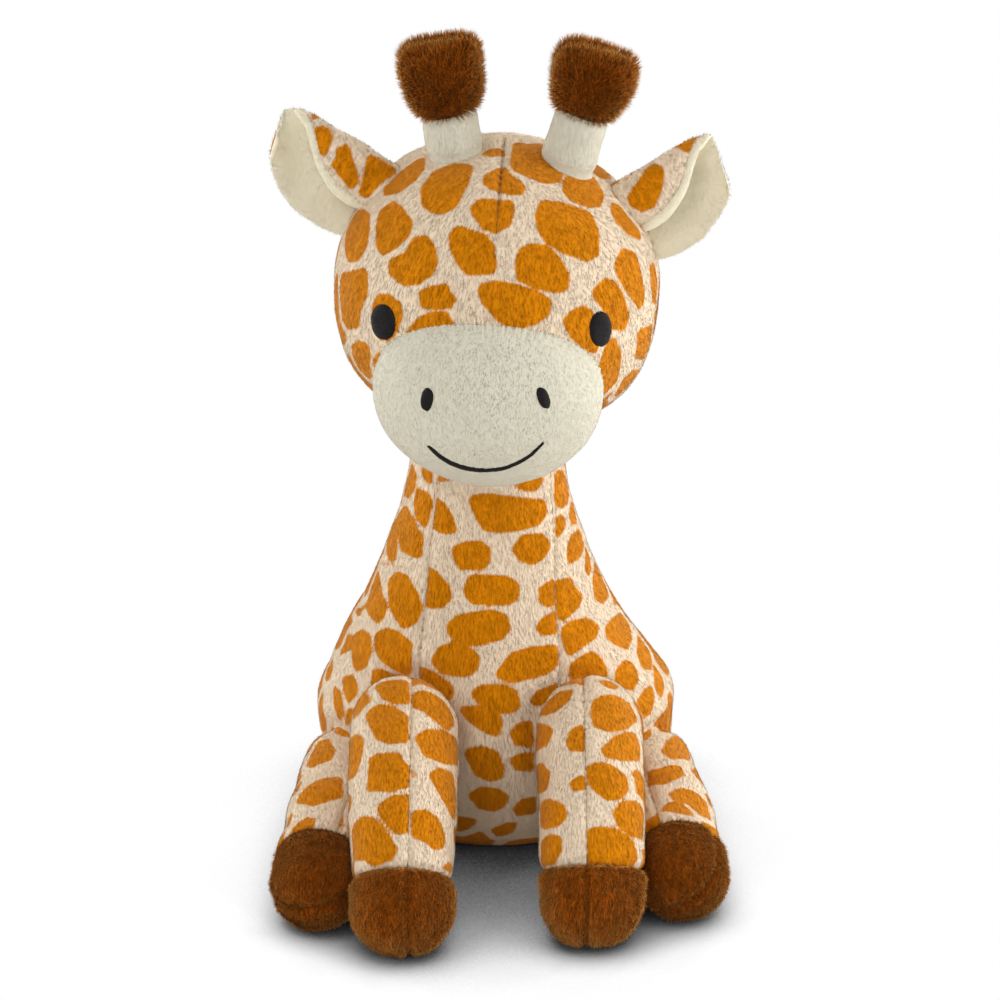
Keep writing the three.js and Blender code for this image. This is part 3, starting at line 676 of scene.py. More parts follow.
def plush_material(cloth):
    """Short pile: streaks along the nap, softly varied colour, and fibre ends that catch light from the side."""
    material = bpy.data.materials.get(cloth.material)
    if material:
        return material
    material = bpy.data.materials.new(cloth.material)
    nodes = emptied(material)
    node, maths, spread, mix = nodes.node, nodes.maths, nodes.spread, nodes.mix

    def shaded(value, span, darker, lighter):
        return spread(value, span, (1 - darker * cloth.contrast, 1 + lighter * cloth.contrast))

    place = node("ShaderNodeTexCoord").outputs["Object"]
    drawn_out = node("ShaderNodeMapping", {"Vector": place, "Scale": (1.0, 1.0, 0.3)}).outputs["Vector"]
    streak, clump, patch = nodes.noise(drawn_out, 1300.0), nodes.noise(drawn_out, 420.0), nodes.noise(place, 45.0)
    base, *print_colour = (getattr(settings("plush"), key) for key in cloth.colours)
    for colour_value in print_colour:
        inside = node("ShaderNodeAttribute", attribute_name="print").outputs["Fac"]
        ragged = maths("ADD", inside, spread(streak, NOISE_SPAN, (-0.0003, 0.0003)))
        mask = spread(ragged, (-0.0004, 0.0004), WHOLE_SPAN)
        darker = [value * 0.84 for value in colour_value]
        base = mix("MIX", mask, base, mix("MIX", spread(clump, NOISE_SPAN, WHOLE_SPAN), darker, colour_value))
    tone = node("ShaderNodeAttribute", attribute_name="tone").outputs["Fac"]
    shade = maths("MULTIPLY", shaded(streak, (0.28, 0.62), 0.09, 0.04), shaded(clump, NOISE_SPAN, 0.06, 0.03))
    shade = maths("MULTIPLY", shade, shaded(patch, NOISE_SPAN, 0.03, 0.03))
    shade = maths("MULTIPLY", shade, shaded(tone, WHOLE_SPAN, 0.13, 0.13))
    grey = node("ShaderNodeCombineColor", enumerate([shade] * 3)).outputs[0]
    skin_way = node("ShaderNodeVectorTransform",
                    {0: node("ShaderNodeAttribute", attribute_name="facing").outputs["Vector"]},
                    vector_type="NORMAL", convert_from="OBJECT", convert_to="WORLD").outputs[0]
    tuft_way = node("ShaderNodeNewGeometry").outputs["Normal"]
    even = node("ShaderNodeMix", {0: cloth.smooth, 4: tuft_way, 5: skin_way}, data_type="VECTOR").outputs[1]
    bump = node("ShaderNodeBump", {
        "Normal": even, "Strength": min(0.35 * cloth.contrast, 0.7), "Distance": cloth.relief,
        "Height": maths("ADD", streak, maths("MULTIPLY", clump, 1.5))})
    shader = node("ShaderNodeBsdfPrincipled", {
        "Base Color": mix("MULTIPLY", 1.0, base, grey), "Roughness": spread(streak, NOISE_SPAN, (1.0, 0.82)),
        "Specular IOR Level": 0.0, "Sheen Weight": cloth.glow, "Sheen Tint": (*cloth.glow_tint, 1.0),
        "Sheen Roughness": 0.5, "Normal": bump.outputs["Normal"]})
    node("ShaderNodeOutputMaterial", {"Surface": shader.outputs["BSDF"]})
    return material


def thread_material():
    """Dark twisted thread with a dull gloss."""
    material = bpy.data.materials.get("embroidery_thread")
    if material:
        return material
    material = bpy.data.materials.new("embroidery_thread")
    nodes = emptied(material)
    twist = nodes.noise(nodes.node("ShaderNodeTexCoord").outputs["Object"], 2400.0)
    dark, light = ([value * share for value in settings("plush").thread] for share in (0.6, 1.7))
    bump = nodes.node("ShaderNodeBump", {"Distance": 0.2 * MM, "Height": twist})
    shader = nodes.node("ShaderNodeBsdfPrincipled", {
        "Base Color": nodes.mix("MIX", twist, dark, light), "Roughness": 0.45, "Specular IOR Level": 0.17,
        "Normal": bump.outputs["Normal"]})
    nodes.node("ShaderNodeOutputMaterial", {"Surface": shader.outputs["BSDF"]})
    return material


def piece_tree(name, inputs):
    """A new tree that takes a piece, some named numbers and a material, with its inputs' outlets."""
    tree = bpy.data.node_groups.new(name, "GeometryNodeTree")

    def socket(label, kind, way="INPUT"):
        return tree.interface.new_socket(name=label, in_out=way, socket_type=f"NodeSocket{kind}")

    socket("Geometry", "Geometry")
    for label, value in inputs.items():
        socket(label, "Int" if isinstance(value, int) else "Float").default_value = value
    socket("Material", "Material")
    socket("Geometry", "Geometry", "OUTPUT")
    nodes = Nodes(tree)
    return tree, nodes, nodes.add("NodeGroupInput").outputs


def pile_tree():
    """Sows tufts on a skin's outside; each leans along the nap and takes the print that it lies on."""
    tree = bpy.data.node_groups.get("plush_pile")
    if tree:
        return tree
    tree, nodes, given = piece_tree("plush_pile", {"Density": 1.2e6, "Length": 2.1 * MM, "Width": 0.17 * MM,
                                                   "Thickness": 0.35, "Lean": 1.15, "Stray": 0.2, "Seed": 7})
    node, maths, vector = nodes.node, nodes.maths, nodes.vector
    skin, seed, lean = given["Geometry"], given["Seed"], given["Lean"]

    def faced(geometry, way, tone):
        return nodes.stored(nodes.stored(geometry, "facing", way, "FLOAT_VECTOR"), "tone", tone)

    furred = maths("GREATER_THAN", maths("MULTIPLY", nodes.read("outside"), nodes.read("furred")), 0.5)
    sown = node("GeometryNodeDistributePointsOnFaces",
                {"Mesh": skin, "Selection": furred, "Density": given["Density"], "Seed": seed})
    normal = sown.outputs["Normal"]
    along = vector("SCALE", nodes.read("nap", "FLOAT_VECTOR"), maths("SINE", lean))
    upright = vector("SCALE", normal, maths("COSINE", lean))
    stray = node("FunctionNodeRandomValue", {0: (-1.0,) * 3, 1: (1.0,) * 3, "Seed": seed}, data_type="FLOAT_VECTOR")
    heading = vector("ADD", vector("ADD", along, upright), vector("SCALE", stray.outputs[0], given["Stray"]))
    leaning = node("FunctionNodeAlignRotationToVector", {"Vector": heading}, axis="Z")
    rolled = node("FunctionNodeAlignRotationToVector",
                  {"Rotation": leaning.outputs["Rotation"], "Vector": normal}, axis="Y", pivot_axis="Z")
    tuft = node("GeometryNodeMeshCone", {"Vertices": 3, "Radius Top": 0.0, "Radius Bottom": given["Width"],
                                         "Depth": given["Length"]}, fill_type="NGON")
    size, tone = (node("FunctionNodeRandomValue", {2: low, 3: high, "Seed": maths("ADD", seed, step)},
                       data_type="FLOAT").outputs[1] for low, high, step in ((0.6, 1.25, 1.0), (0.0, 1.0, 2.0)))
    shape = node("ShaderNodeCombineXYZ", {"X": size, "Y": maths("MULTIPLY", size, given["Thickness"]), "Z": size})
    placed = node("GeometryNodeInstanceOnPoints", {
        "Points": faced(sown.outputs["Points"], normal, tone), "Instance": tuft.outputs["Mesh"],
        "Rotation": rolled.outputs["Rotation"], "Scale": shape.outputs["Vector"]})
    smooth = node("GeometryNodeSetShadeSmooth", {"Geometry": placed.outputs["Instances"]})
    own_way = node("GeometryNodeInputNormal").outputs["Normal"]
    whole = nodes.joined(smooth.outputs["Geometry"], faced(skin, own_way, 0.5))
    real = node("GeometryNodeRealizeInstances", {"Geometry": whole}).outputs["Geometry"]
    nearest = node("GeometryNodeSampleNearestSurface", {"Mesh": skin, "Value": nodes.read("print")},
                   data_type="FLOAT")
    dressed = node("GeometryNodeSetMaterial", {"Geometry": nodes.stored(real, "print", nearest.outputs["Value"]),
                                               "Material": given["Material"]})
    node("NodeGroupOutput", {"Geometry": dressed.outputs["Geometry"]})
    return tree


def grown(piece, tree, chosen):
    """Runs a tree on a piece and keeps what it made as the piece's plain mesh."""
    modifier = piece.modifiers.new(tree.name, "NODES")
    modifier.node_group = tree
    for item in tree.interface.items_tree:
        if item.in_out == "INPUT" and item.name in chosen:
            modifier[item.identifier] = chosen[item.name]
    ready = piece.evaluated_get(bpy.context.evaluated_depsgraph_get())
    mesh = bpy.data.meshes.new_from_object(ready)
    piece.modifiers.clear()
    old, piece.data = piece.data, mesh
    bpy.data.meshes.remove(old)
    mesh.name = piece.name
    mesh.materials.clear()
    mesh.materials.append(chosen["Material"])
    mesh.polygons.foreach_set("material_index", [0] * len(mesh.polygons))


def flat_picture(piece, printed):
    """Writes the chart of each point, a tuft's root included, as the piece's own picture map."""
    mesh = piece.data
    chart = np.zeros(len(mesh.vertices) * 3, np.float32)
    mesh.attributes["chart"].data.foreach_get("vector", chart)
    corner = np.zeros(len(mesh.loops), np.int32)
    mesh.loops.foreach_get("vertex_index", corner)
    while mesh.uv_layers:
        mesh.uv_layers.remove(mesh.uv_layers[0])
    layer = mesh.uv_layers.new(name="OFBake")
    layer.data.foreach_set("uv", chart.reshape(-1, 3)[corner, :2].ravel())
    for key in ("chart", "nap", "outside", "furred") + (() if printed else ("print",)):
        mesh.attributes.remove(mesh.attributes[key])


def pressed(heights, bend):
    """Heights above the floor, with whatever would go below it bent flat just above."""
    return np.where(heights < FLOOR_REACH, 0.5 * (heights + np.hypot(heights, bend)), heights)


def together(first, second):
    """Two closed forms, each points, triangles and values, as one."""
    values = {key: np.concatenate([row, second[2][key]]) for key, row in first[2].items()}
    return np.concatenate([first[0], second[0]]), np.concatenate([first[1], second[1] + len(first[0])]), values


def sewn(name, points, faces, values, chart, cloth, body, nodes, seed, density=1.45, thickness=None, whole=False,
         roll=None, **pile):
    """One cloth piece from sheet to finished piece: closed, furred, coloured and fixed to its body.

    The density is in tufts per square millimetre, and pile changes inputs of the pile's tree for this piece.
    """
    plush = settings("plush")
    values = {"furred": np.ones(len(points)), **values, "chart": chart}
    if whole:
        solid = points, faces, dict(values, outside=np.ones(len(points)))
    else:
        solid = closed_cloth(points, faces, plush.cloth if thickness is None else thickness, values)
    if roll:
        solid = together(solid, roll)
    flat = solid[2]["chart"]
    solid[2]["chart"] = np.concatenate([framed(flat), np.zeros((len(flat), 1))], 1)
    piece = mesh_object(name, *solid)
    grown(piece, pile_tree(), {
        "Density": density * 1e6, "Length": getattr(plush, cloth.pile), "Width": getattr(plush, cloth.fibre),
        "Thickness": cloth.flat, "Lean": cloth.lean, "Stray": cloth.stray, "Seed": seed,
        "Material": plush_material(cloth), **pile})
    flat_picture(piece, "print" in values)
    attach(piece, body)
    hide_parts(*nodes)
    return piece


def nap_along(normals, direction):
    """A direction laid flat on the cloth at each point."""
    rise = np.einsum("ij,ij->i", normals, np.broadcast_to(direction, normals.shape))
    return unit(direction - normals * rise[:, None])


# Body

# Heights up the body, and its swell over the neck at each, as shares
BODY_HEIGHTS = (0, 0.035, 0.09, 0.17, 0.25, 0.33, 0.42, 0.52, 0.62, 0.72, 0.81, 0.88, 1.0)
BODY_SWELLS = (0.44, 0.69, 0.87, 1.0, 1.03, 0.87, 0.66, 0.43, 0.235, 0.105, 0.035, 0.01, 0.0)
SWAY_START, SWAY_RUN = 45, 33  # the neck leans over this run of heights, in millimetres
BODY_TOP, TOP_ROUNDING = 0.97, 0.06  # the closed top's height, and the run of its rounding, as shares
PANEL_SEAM = (1.0 * MM, 1.2 * MM)  # depth and width of the groove
ROOT_CREASE = (2.2 * MM, 4.5 * MM)  # depth and width of the crease round a leg's root
CREASE_REACH = 9 * MM  # a crease is drawn on cloth no deeper inside the body than this
SEAT_RIM = 1.25 * MM  # how far the edge of the seat is rounded up
BODY_MIDDLE = np.array([0, 0, 50]) * MM


def body_radii(level):
    """Half width, half depth and middle of the body at some heights."""
    body = settings("body")
    swell = smooth_curve(BODY_HEIGHTS, BODY_SWELLS, np.asarray(level) / body.height)
    lift = settings("plush").lift
    return (body.neck + (body.half_width - body.neck) * swell + lift,
            body.neck + (body.half_depth - body.neck) * swell + lift, body.setback * swell)


def body_sway(level):
    """How far the body's middle leans to the giraffe's right at some heights."""
    share = ramp(np.asarray(level) / MM - SWAY_START, SWAY_RUN)
    return settings("body").sway * share ** 2 * (3 - 2 * share)


def body_depth(points):
    """About how far a point lies outside the body."""
    wide, deep, middle = body_radii(np.clip(points[:, 2], 0, None))
    reach = np.hypot((points[:, 0] + body_sway(points[:, 2])) / wide, (points[:, 1] - middle) / deep)
    return (reach - 1) * np.minimum(wide, deep)


def strip_half(level):
    """Half width of the front panel at some heights."""
    body = settings("body")
    return body.strip_bottom + (body.strip_top - body.strip_bottom) * ramp(level, body.height)


def body_surface(around=250, rings=190):
    """The body's bare form: rings spaced evenly from a flat seat to a rounded top."""
    body = settings("body")
    seat, side = 400, 4000
    fine = np.linspace(0, 1, side)
    level = np.concatenate([np.zeros(seat), fine * body.height * BODY_TOP])
    wide, deep, middle = body_radii(level)
    closing = ramp(fine - (1 - TOP_ROUNDING), TOP_ROUNDING)
    shrink = np.concatenate([np.linspace(0.02, 1, seat), np.sqrt(np.clip(1 - closing ** 2, 0.02, 1))])
    rim = SEAT_RIM * np.linspace(0, 1, seat) ** 12
    level = level + np.concatenate([rim, np.zeros(side)])
    path = np.concatenate([[0], np.cumsum(np.hypot(np.diff(wide * shrink), np.diff(level)))])
    at = np.linspace(path[0], path[-1], rings)
    wide, deep, middle, level = (np.interp(at, path, row) for row in (wide * shrink, deep * shrink, middle, level))
    angle = turns(around)
    rows = np.stack([wide[:, None] * np.cos(angle) - body_sway(level)[:, None],
                     middle[:, None] + deep[:, None] * np.sin(angle),
                     np.broadcast_to(level[:, None], (rings, around))], -1)
    return lathe(rows[0].mean(axis=0), rows, rows[-1].mean(axis=0))


def groove(distance, depth, width):
    """How far cloth is drawn in at some distances from a seam."""
    return depth * np.exp(-(distance / width) ** 2)


def seam_pull(along, seed):
    """Small uneven puckers along a seam."""
    return 1 + 0.22 * np.sin(along / MM * 1.9 + seed) + 0.14 * np.sin(along / MM * 3.3 + 2 * seed)


# Each row is one spot's outline in the picture: across and down, in turn.
FRONT_SPOTS = (
    (435, 473, 454, 481, 439, 482, 435, 477),
    (511, 487, 525, 480, 543, 474, 545, 480, 537, 490, 525, 491),
    (463, 496, 480, 495, 500, 498, 525, 501, 550, 502, 551, 511, 546, 520, 525, 527, 500, 531, 480, 529, 471, 515),
    (432, 495, 443, 502, 453, 520, 457, 533, 446, 534, 429, 526),
    (451, 549, 462, 543, 482, 542, 491, 549, 491, 561, 486, 568, 459, 569, 453, 560),
    (511, 549, 521, 536, 543, 534, 551, 543, 546, 556, 532, 564, 518, 559),
    (426, 565, 434, 570, 450, 588, 451, 601, 443, 608, 432, 609, 422, 606, 423, 576),
    (464, 579, 471, 576, 512, 579, 522, 586, 521, 599, 514, 603, 468, 602, 461, 593),
    (539, 588, 553, 578, 558, 590, 556, 604, 546, 607, 538, 601),
    (443, 627, 453, 618, 496, 611, 511, 616, 514, 627, 507, 636, 477, 644, 457, 642, 445, 634),
    (535, 628, 543, 618, 558, 609, 558, 634, 541, 635),
    (430, 661, 436, 649, 452, 643, 471, 649, 481, 658, 478, 670, 468, 676, 439, 672),
    (491, 677, 507, 656, 532, 648, 561, 645, 562, 661, 552, 670, 528, 677, 505, 682),
    (412, 665, 428, 670, 452, 686, 455, 695, 452, 701, 437, 701, 421, 693, 411, 683),
    (468, 692, 477, 686, 507, 686, 519, 692, 523, 708, 514, 713, 496, 710, 475, 700),
    (528, 702, 536, 692, 561, 682, 565, 688, 539, 706, 532, 706),
    (456, 706, 478, 706, 500, 714, 504, 722, 502, 738, 488, 733, 468, 720),
    (510, 733, 519, 723, 532, 721, 534, 748, 515, 745),
    (463, 748, 480, 745, 497, 752, 504, 770, 503, 779, 490, 781, 476, 775),
    (509, 759, 519, 754, 534, 752, 534, 771, 515, 770),
    (467, 794, 480, 787, 500, 790, 509, 796, 505, 806, 495, 811, 478, 808),
    (513, 809, 521, 800, 536, 796, 536, 813, 517, 816),
    (490, 830, 506, 823, 518, 822, 513, 832, 497, 837),
    (455, 815, 478, 819, 470, 828, 457, 832),
)
LEFT_SIDE_SPOTS = (
    (556, 469, 563, 470, 569, 492, 567, 502, 560, 508, 556, 506),
    (571, 501, 574, 502, 577, 524, 571, 525, 569, 517),
    (556, 516, 563, 514, 566, 522, 561, 534, 556, 539),
    (567, 547, 571, 536, 580, 528, 584, 543, 580, 556, 568, 564, 567, 558),
    (585, 545, 589, 554, 591, 572, 588, 577, 585, 572),
    (594, 561, 599, 565, 607, 583, 608, 593, 601, 604, 595, 601, 593, 583),
    (608, 581, 615, 592, 615, 597, 611, 593),
    (555, 580, 570, 577, 573, 586, 583, 597, 578, 608, 559, 624, 557, 601),
    (560, 629, 571, 622, 589, 618, 601, 626, 598, 634, 580, 647, 566, 657, 561, 643),
    (604, 631, 611, 622, 622, 614, 629, 622, 632, 636, 627, 649, 611, 642, 604, 636),
    (637, 633, 647, 647, 651, 658, 650, 671, 642, 669, 637, 654),
    (567, 667, 579, 658, 593, 652, 601, 658, 608, 672, 609, 679, 585, 682, 570, 684),
    (615, 677, 619, 667, 627, 660, 635, 665, 639, 677, 633, 690, 622, 688, 615, 683),
    (653, 663, 661, 674, 664, 686, 660, 700, 655, 690),
    (636, 704, 645, 689, 652, 685, 654, 698, 649, 715, 642, 719),
    (653, 733, 659, 717, 670, 689, 676, 698, 680, 715, 672, 733, 659, 744, 651, 742),
)
RIGHT_SIDE_SPOTS = (
    (421, 467, 433, 471, 433, 484, 427, 482, 422, 474),
    (416, 487, 428, 492, 432, 499, 429, 515, 425, 529, 416, 518, 414, 504),
    (413, 463, 417, 474, 414, 490, 409, 497, 404, 495, 406, 483),
    (399, 505, 406, 506, 414, 522, 417, 533, 425, 540, 424, 560, 415, 557, 403, 551, 397, 529, 397, 515),
    (389, 522, 395, 518, 396, 540, 397, 551, 396, 563, 390, 561, 387, 547, 386, 531),
    (383, 549, 382, 565, 379, 563),
    (389, 576, 396, 570, 405, 574, 417, 595, 422, 610, 417, 624, 406, 630, 399, 622, 390, 604),
    (371, 576, 375, 568, 379, 579, 381, 597, 388, 610, 385, 620, 380, 625, 369, 614, 366, 606),
    (361, 583, 366, 579, 364, 601, 360, 617, 356, 619, 354, 610, 355, 597),
    (339, 629, 348, 612, 348, 633, 342, 647, 338, 656, 335, 645),
    (353, 635, 362, 629, 370, 635, 371, 652, 366, 667, 357, 672, 353, 665),
    (374, 633, 385, 628, 399, 633, 413, 645, 413, 665, 412, 676, 399, 670, 381, 658, 374, 645),
    (371, 670, 381, 669, 396, 677, 410, 682, 390, 690, 369, 686),
    (326, 681, 327, 670, 333, 658, 333, 667, 330, 679),
    (342, 677, 353, 675, 358, 685, 357, 695, 349, 704, 344, 690),
    (334, 684, 341, 692, 346, 717, 342, 723, 334, 698),
    (316, 731, 317, 713, 325, 689, 326, 717, 326, 732),
    (348, 709, 357, 707, 352, 722, 346, 727),
)


def body_skin():
    """The body's cloth, drawn in at its seams, and how far each point lies inside its seat, front and left side."""
    body = settings("body")
    points, faces = body_surface()
    normals = normals_of(points, faces)
    x, y, z = points.T
    strip = x + body.strip_aside * (1 - ramp(z, body.height))
    front = np.minimum(strip_half(z) - np.abs(strip), -y)
    x = x + body_sway(z)
    seat = 1 - np.hypot(x / body.seat_width, (y - body.setback / 2) / body.seat_depth)
    seat = np.where(z < 2 * MM, seat * body.seat_depth, -body.seat_depth)
    left = np.where(y > 0, x, np.where(x > 0, 1.0, -1.0))
    swell = lumps(points, (34, 0.5, 3), (13, 0.12, 4))
    pull = groove(np.where(y < 0, front, 1), *PANEL_SEAM) * seam_pull(z, 1)
    pull += groove(np.where(y > 0, x, 1), *PANEL_SEAM) * seam_pull(z, 2)
    for leg in LEGS:
        pull += np.where(body_depth(points) > -CREASE_REACH, groove(limb_depth(points, leg), *ROOT_CREASE), 0)
    points = points + normals * ((swell - pull) * ramp(z, 8 * MM))[:, None]
    points[:, 2] = np.maximum(points[:, 2], 0)
    return points, faces, seat, front, left


class GIRAFFE_OT_body(bpy.types.Operator):
    """Sew the body: front panel, two sides and the seat"""

    bl_idname = "giraffe.body"
    bl_label = "Sew body"

    def execute(self, context):
        points, faces, seat, front, left = body_skin()
        surface = Surface(points, faces)
        points, in_seat = split_along(points, faces, seat)
        at_seat = np.abs(seat) < 0.3 * MM
        front[at_seat] = np.where(front > 0, 1, -1)[at_seat] * MM
        points, in_front = split_along(points, faces, front)
        points, in_left = split_along(points, faces, left)
        normals = normals_of(points, faces)
        # Triangles, solid, drawn spots, spacing and height of the other spots, seed and the way that it faces
        panels = {
            "seat": (in_seat, "seat_panel", (), 21, 1.0, 21, 0),
            "front": (in_front & ~in_seat, "body_front_panel", FRONT_SPOTS, 19, 0.8, 22, 0),
            "left": (in_left & ~in_front & ~in_seat, "body_left_panel", LEFT_SIDE_SPOTS, 20, 1.15, 23, 1.7),
            "right": (~in_left & ~in_front & ~in_seat, "body_right_panel", RIGHT_SIDE_SPOTS, 20, 1.15, 24, -1.7),
        }
        nap = nap_along(normals, -Z_AXIS)
        furred = ((points[:, 2] > 1.5 * MM) & (points[:, 2] < 168 * MM)).astype(float)
        for name, (chosen, node, table, spacing, upright, seed, turn) in panels.items():
            part = faces[chosen]
            value = print_on(points, normals, part, Spots(surface, table), spacing * MM, seed, upright)
            chart = chart_about(points, BODY_MIDDLE, -Z_AXIS) if name == "seat" else chart_round(points, turn)
            nodes = [node] + (["body_stuffing", "pellet_bag"] if name == "front" else [])
            sewn(f"body_{name}_cloth", points, part, {"print": value, "nap": nap, "furred": furred},
                 chart, PRINTED, "body", nodes, seed, density=1.45 if name == "front" else 1.35)
        return {"FINISHED"}


# Legs


def leg_row(name, side, across, root, bend_across, bend, tip_across, tip_y, radii, seam, aside):
    """A leg's bent path and radii, its hoof seam's lean and how far its long seam lies towards the middle."""
    path = {"root": (side * across, *root), "bend": (side * bend_across, *bend),
            "tip": (side * tip_across, tip_y, radii[2] - 0.5)}
    path = {key: np.array(place) * MM for key, place in path.items()}
    return dict(path, name=name, side=side, radii=np.array(radii) * MM, seam=math.radians(seam), aside=aside * MM)


FRONT_RADII, HIND_RADII = (19, 18.4, 17.2), (19, 17.6, 15.8)
LEGS = [
    leg_row("right_front", -1, 33.5, (-51, 54), 33.5, (-91, 40), 33.5, -115, FRONT_RADII, 0, 2.8),
    leg_row("left_front", 1, 33.5, (-51, 54), 33.5, (-91, 40), 33.5, -108, FRONT_RADII, 0, 2.2),
    leg_row("right_hind", -1, 54, (-26, 23), 60, (-66, 19), 63.8, -96, HIND_RADII, 75, 6),
    leg_row("left_hind", 1, 55, (-26, 23), 62.5, (-66, 19), 66, -89, HIND_RADII, -50, 6),
]


def limb_path(leg, t):
    """Places along a leg's middle, from 0 at its root to 1 at its tip."""
    t = np.asarray(t, float)[..., None]
    return (1 - t) ** 2 * leg["root"] + 2 * t * (1 - t) * leg["bend"] + t ** 2 * leg["tip"]


def limb_heading(leg, t):
    """Directions along a leg's middle."""
    t = np.asarray(t, float)[..., None]
    return unit((1 - t) * (leg["bend"] - leg["root"]) + t * (leg["tip"] - leg["bend"]))


def limb_radius(leg, t):
    """Radii along a leg."""
    first, middle, last = leg["radii"] + settings("plush").lift
    return np.interp(t, (0, 0.5, 1), (first, middle, last))


def limb_depth(points, leg):
    """How far a point lies outside a leg."""
    steps = np.linspace(0, 1, 24)
    away = np.linalg.norm(points[:, None, :] - limb_path(leg, steps)[None], axis=2) - limb_radius(leg, steps)
    return away.min(axis=1)


def limb_surface(leg, around=100, rings=112):
    """A round root, a swelling shank and a blunt round end along the leg's bent path."""
    t = np.linspace(0, 1, 400)
    spine = limb_path(leg, t)
    run = run_along(spine)
    first, last = limb_radius(leg, 0.0), limb_radius(leg, 1.0)
    root_run, whole = math.pi / 2 * first, run[-1]
    stations = []
    for station in np.linspace(0, root_run + whole + math.pi / 2 * last, rings + 2)[1:-1]:
        if station < root_run:
            heading, angle = limb_heading(leg, 0.0), station / first
            stations.append((spine[0] - heading * first * math.cos(angle), first * math.sin(angle), heading))
        elif station < root_run + whole:
            share = np.interp(station - root_run, run, t)
            stations.append((limb_path(leg, share), float(limb_radius(leg, share)), limb_heading(leg, share)))
        else:
            heading, angle = limb_heading(leg, 1.0), (station - root_run - whole) / last
            stations.append((spine[-1] + heading * last * math.sin(angle) * 0.98, last * math.cos(angle) ** 0.86,
                             heading))
    centres, radii, headings = (np.array(column) for column in zip(*stations))
    side = unit(X_AXIS - headings * headings[:, :1])
    up = np.cross(headings, side)
    angle = turns(around)
    rows = (centres[:, None] + radii[:, None, None] * (side[:, None] * np.cos(angle)[None, :, None]
                                                       + up[:, None] * np.sin(angle)[None, :, None]))
    return lathe(centres[0] - headings[0] * 0.1 * MM, rows, centres[-1] + headings[-1] * 0.1 * MM)


# The outer half's spots, then the inner half's
LEG_SPOTS = {
    "right_front": ((
        (375, 685, 382, 682, 409, 682, 411, 706, 398, 705, 384, 698),
        (366, 711, 375, 705, 390, 706, 408, 717, 409, 747, 394, 746, 380, 740, 371, 723),
        (344, 752, 346, 740, 357, 735, 363, 740, 361, 759, 356, 777, 345, 782, 343, 767),
        (370, 757, 379, 755, 398, 754, 401, 763, 412, 771, 412, 788, 394, 792, 367, 792, 369, 775),
        (344, 794, 352, 798, 351, 809, 345, 819, 343, 805),
        (378, 805, 390, 796, 412, 794, 413, 832, 401, 836, 392, 828, 380, 813),
        (352, 826, 359, 817, 371, 818, 382, 828, 398, 855, 396, 860, 378, 866, 367, 858, 353, 859),
        (350, 864, 355, 865, 357, 878, 352, 881),
    ), (
        (411, 694, 422, 691, 444, 702, 454, 719, 455, 727, 447, 732, 432, 717, 419, 707, 412, 707),
        (413, 740, 422, 733, 444, 733, 458, 746, 458, 767, 444, 763, 422, 756),
        (429, 773, 438, 767, 453, 773, 458, 790, 458, 822, 453, 821, 444, 801, 434, 782),
        (410, 768, 418, 775, 413, 780),
        (411, 811, 424, 809, 438, 819, 445, 836, 444, 848, 436, 850, 426, 841, 412, 836),
        (454, 826, 459, 832, 457, 851, 454, 844),
        (440, 866, 449, 861, 452, 870, 451, 874),
    )),
    "left_front": ((
        (594, 702, 603, 697, 618, 697, 632, 706, 638, 719, 624, 728, 607, 732, 594, 729, 592, 715),
        (597, 754, 615, 738, 630, 733, 638, 736, 641, 748, 640, 760, 624, 760, 599, 758),
        (586, 767, 599, 763, 613, 767, 628, 779, 629, 790, 620, 800, 607, 800, 597, 792, 588, 782),
        (613, 813, 622, 803, 638, 803, 644, 813, 643, 840, 630, 836, 617, 824),
        (583, 832, 592, 828, 615, 830, 634, 845, 638, 859, 634, 868, 615, 867, 584, 864),
        (597, 681, 609, 681, 620, 687, 615, 690, 605, 687),
    ), (
        (535, 713, 546, 702, 563, 691, 575, 690, 571, 700, 557, 711, 544, 716),
        (526, 736, 527, 727, 538, 726, 551, 729, 556, 734, 551, 745, 534, 752),
        (566, 744, 571, 729, 583, 724, 584, 736, 585, 754, 571, 752),
        (533, 767, 542, 764, 551, 774, 548, 790, 536, 794, 534, 782),
        (569, 782, 584, 775, 587, 790, 573, 792),
        (535, 801, 548, 800, 565, 807, 569, 817, 561, 825, 546, 828, 536, 824),
        (538, 842, 550, 835, 562, 837, 563, 851, 557, 863, 544, 868, 539, 855),
    )),
    "right_hind": ((
        (307, 767, 319, 740, 327, 738, 334, 752, 331, 761, 312, 769),
        (296, 803, 304, 790, 317, 781, 342, 777, 343, 797, 327, 801, 313, 806),
        (289, 837, 298, 823, 308, 817, 317, 819, 315, 828, 302, 830),
        (292, 798, 300, 782, 302, 782, 298, 792),
        (285, 830, 290, 813, 293, 813, 289, 826),
    ), (
        (335, 821, 343, 815, 343, 830, 336, 824),
        (337, 737, 342, 725, 345, 737, 343, 748),
    )),
    "left_hind": ((
        (661, 756, 668, 742, 680, 735, 689, 738, 693, 752, 687, 760, 668, 761),
        (647, 773, 659, 770, 682, 766, 686, 775, 676, 778, 662, 785, 647, 788),
        (691, 771, 699, 764, 703, 775, 706, 786, 697, 779),
        (667, 794, 680, 788, 695, 792, 708, 805, 712, 822, 703, 817, 687, 802, 672, 800),
        (659, 813, 666, 803, 678, 802, 691, 811, 695, 817, 678, 813),
        (703, 791, 710, 798, 713, 811, 708, 801),
    ), (
        (645, 805, 649, 809, 647, 815),
    )),
}


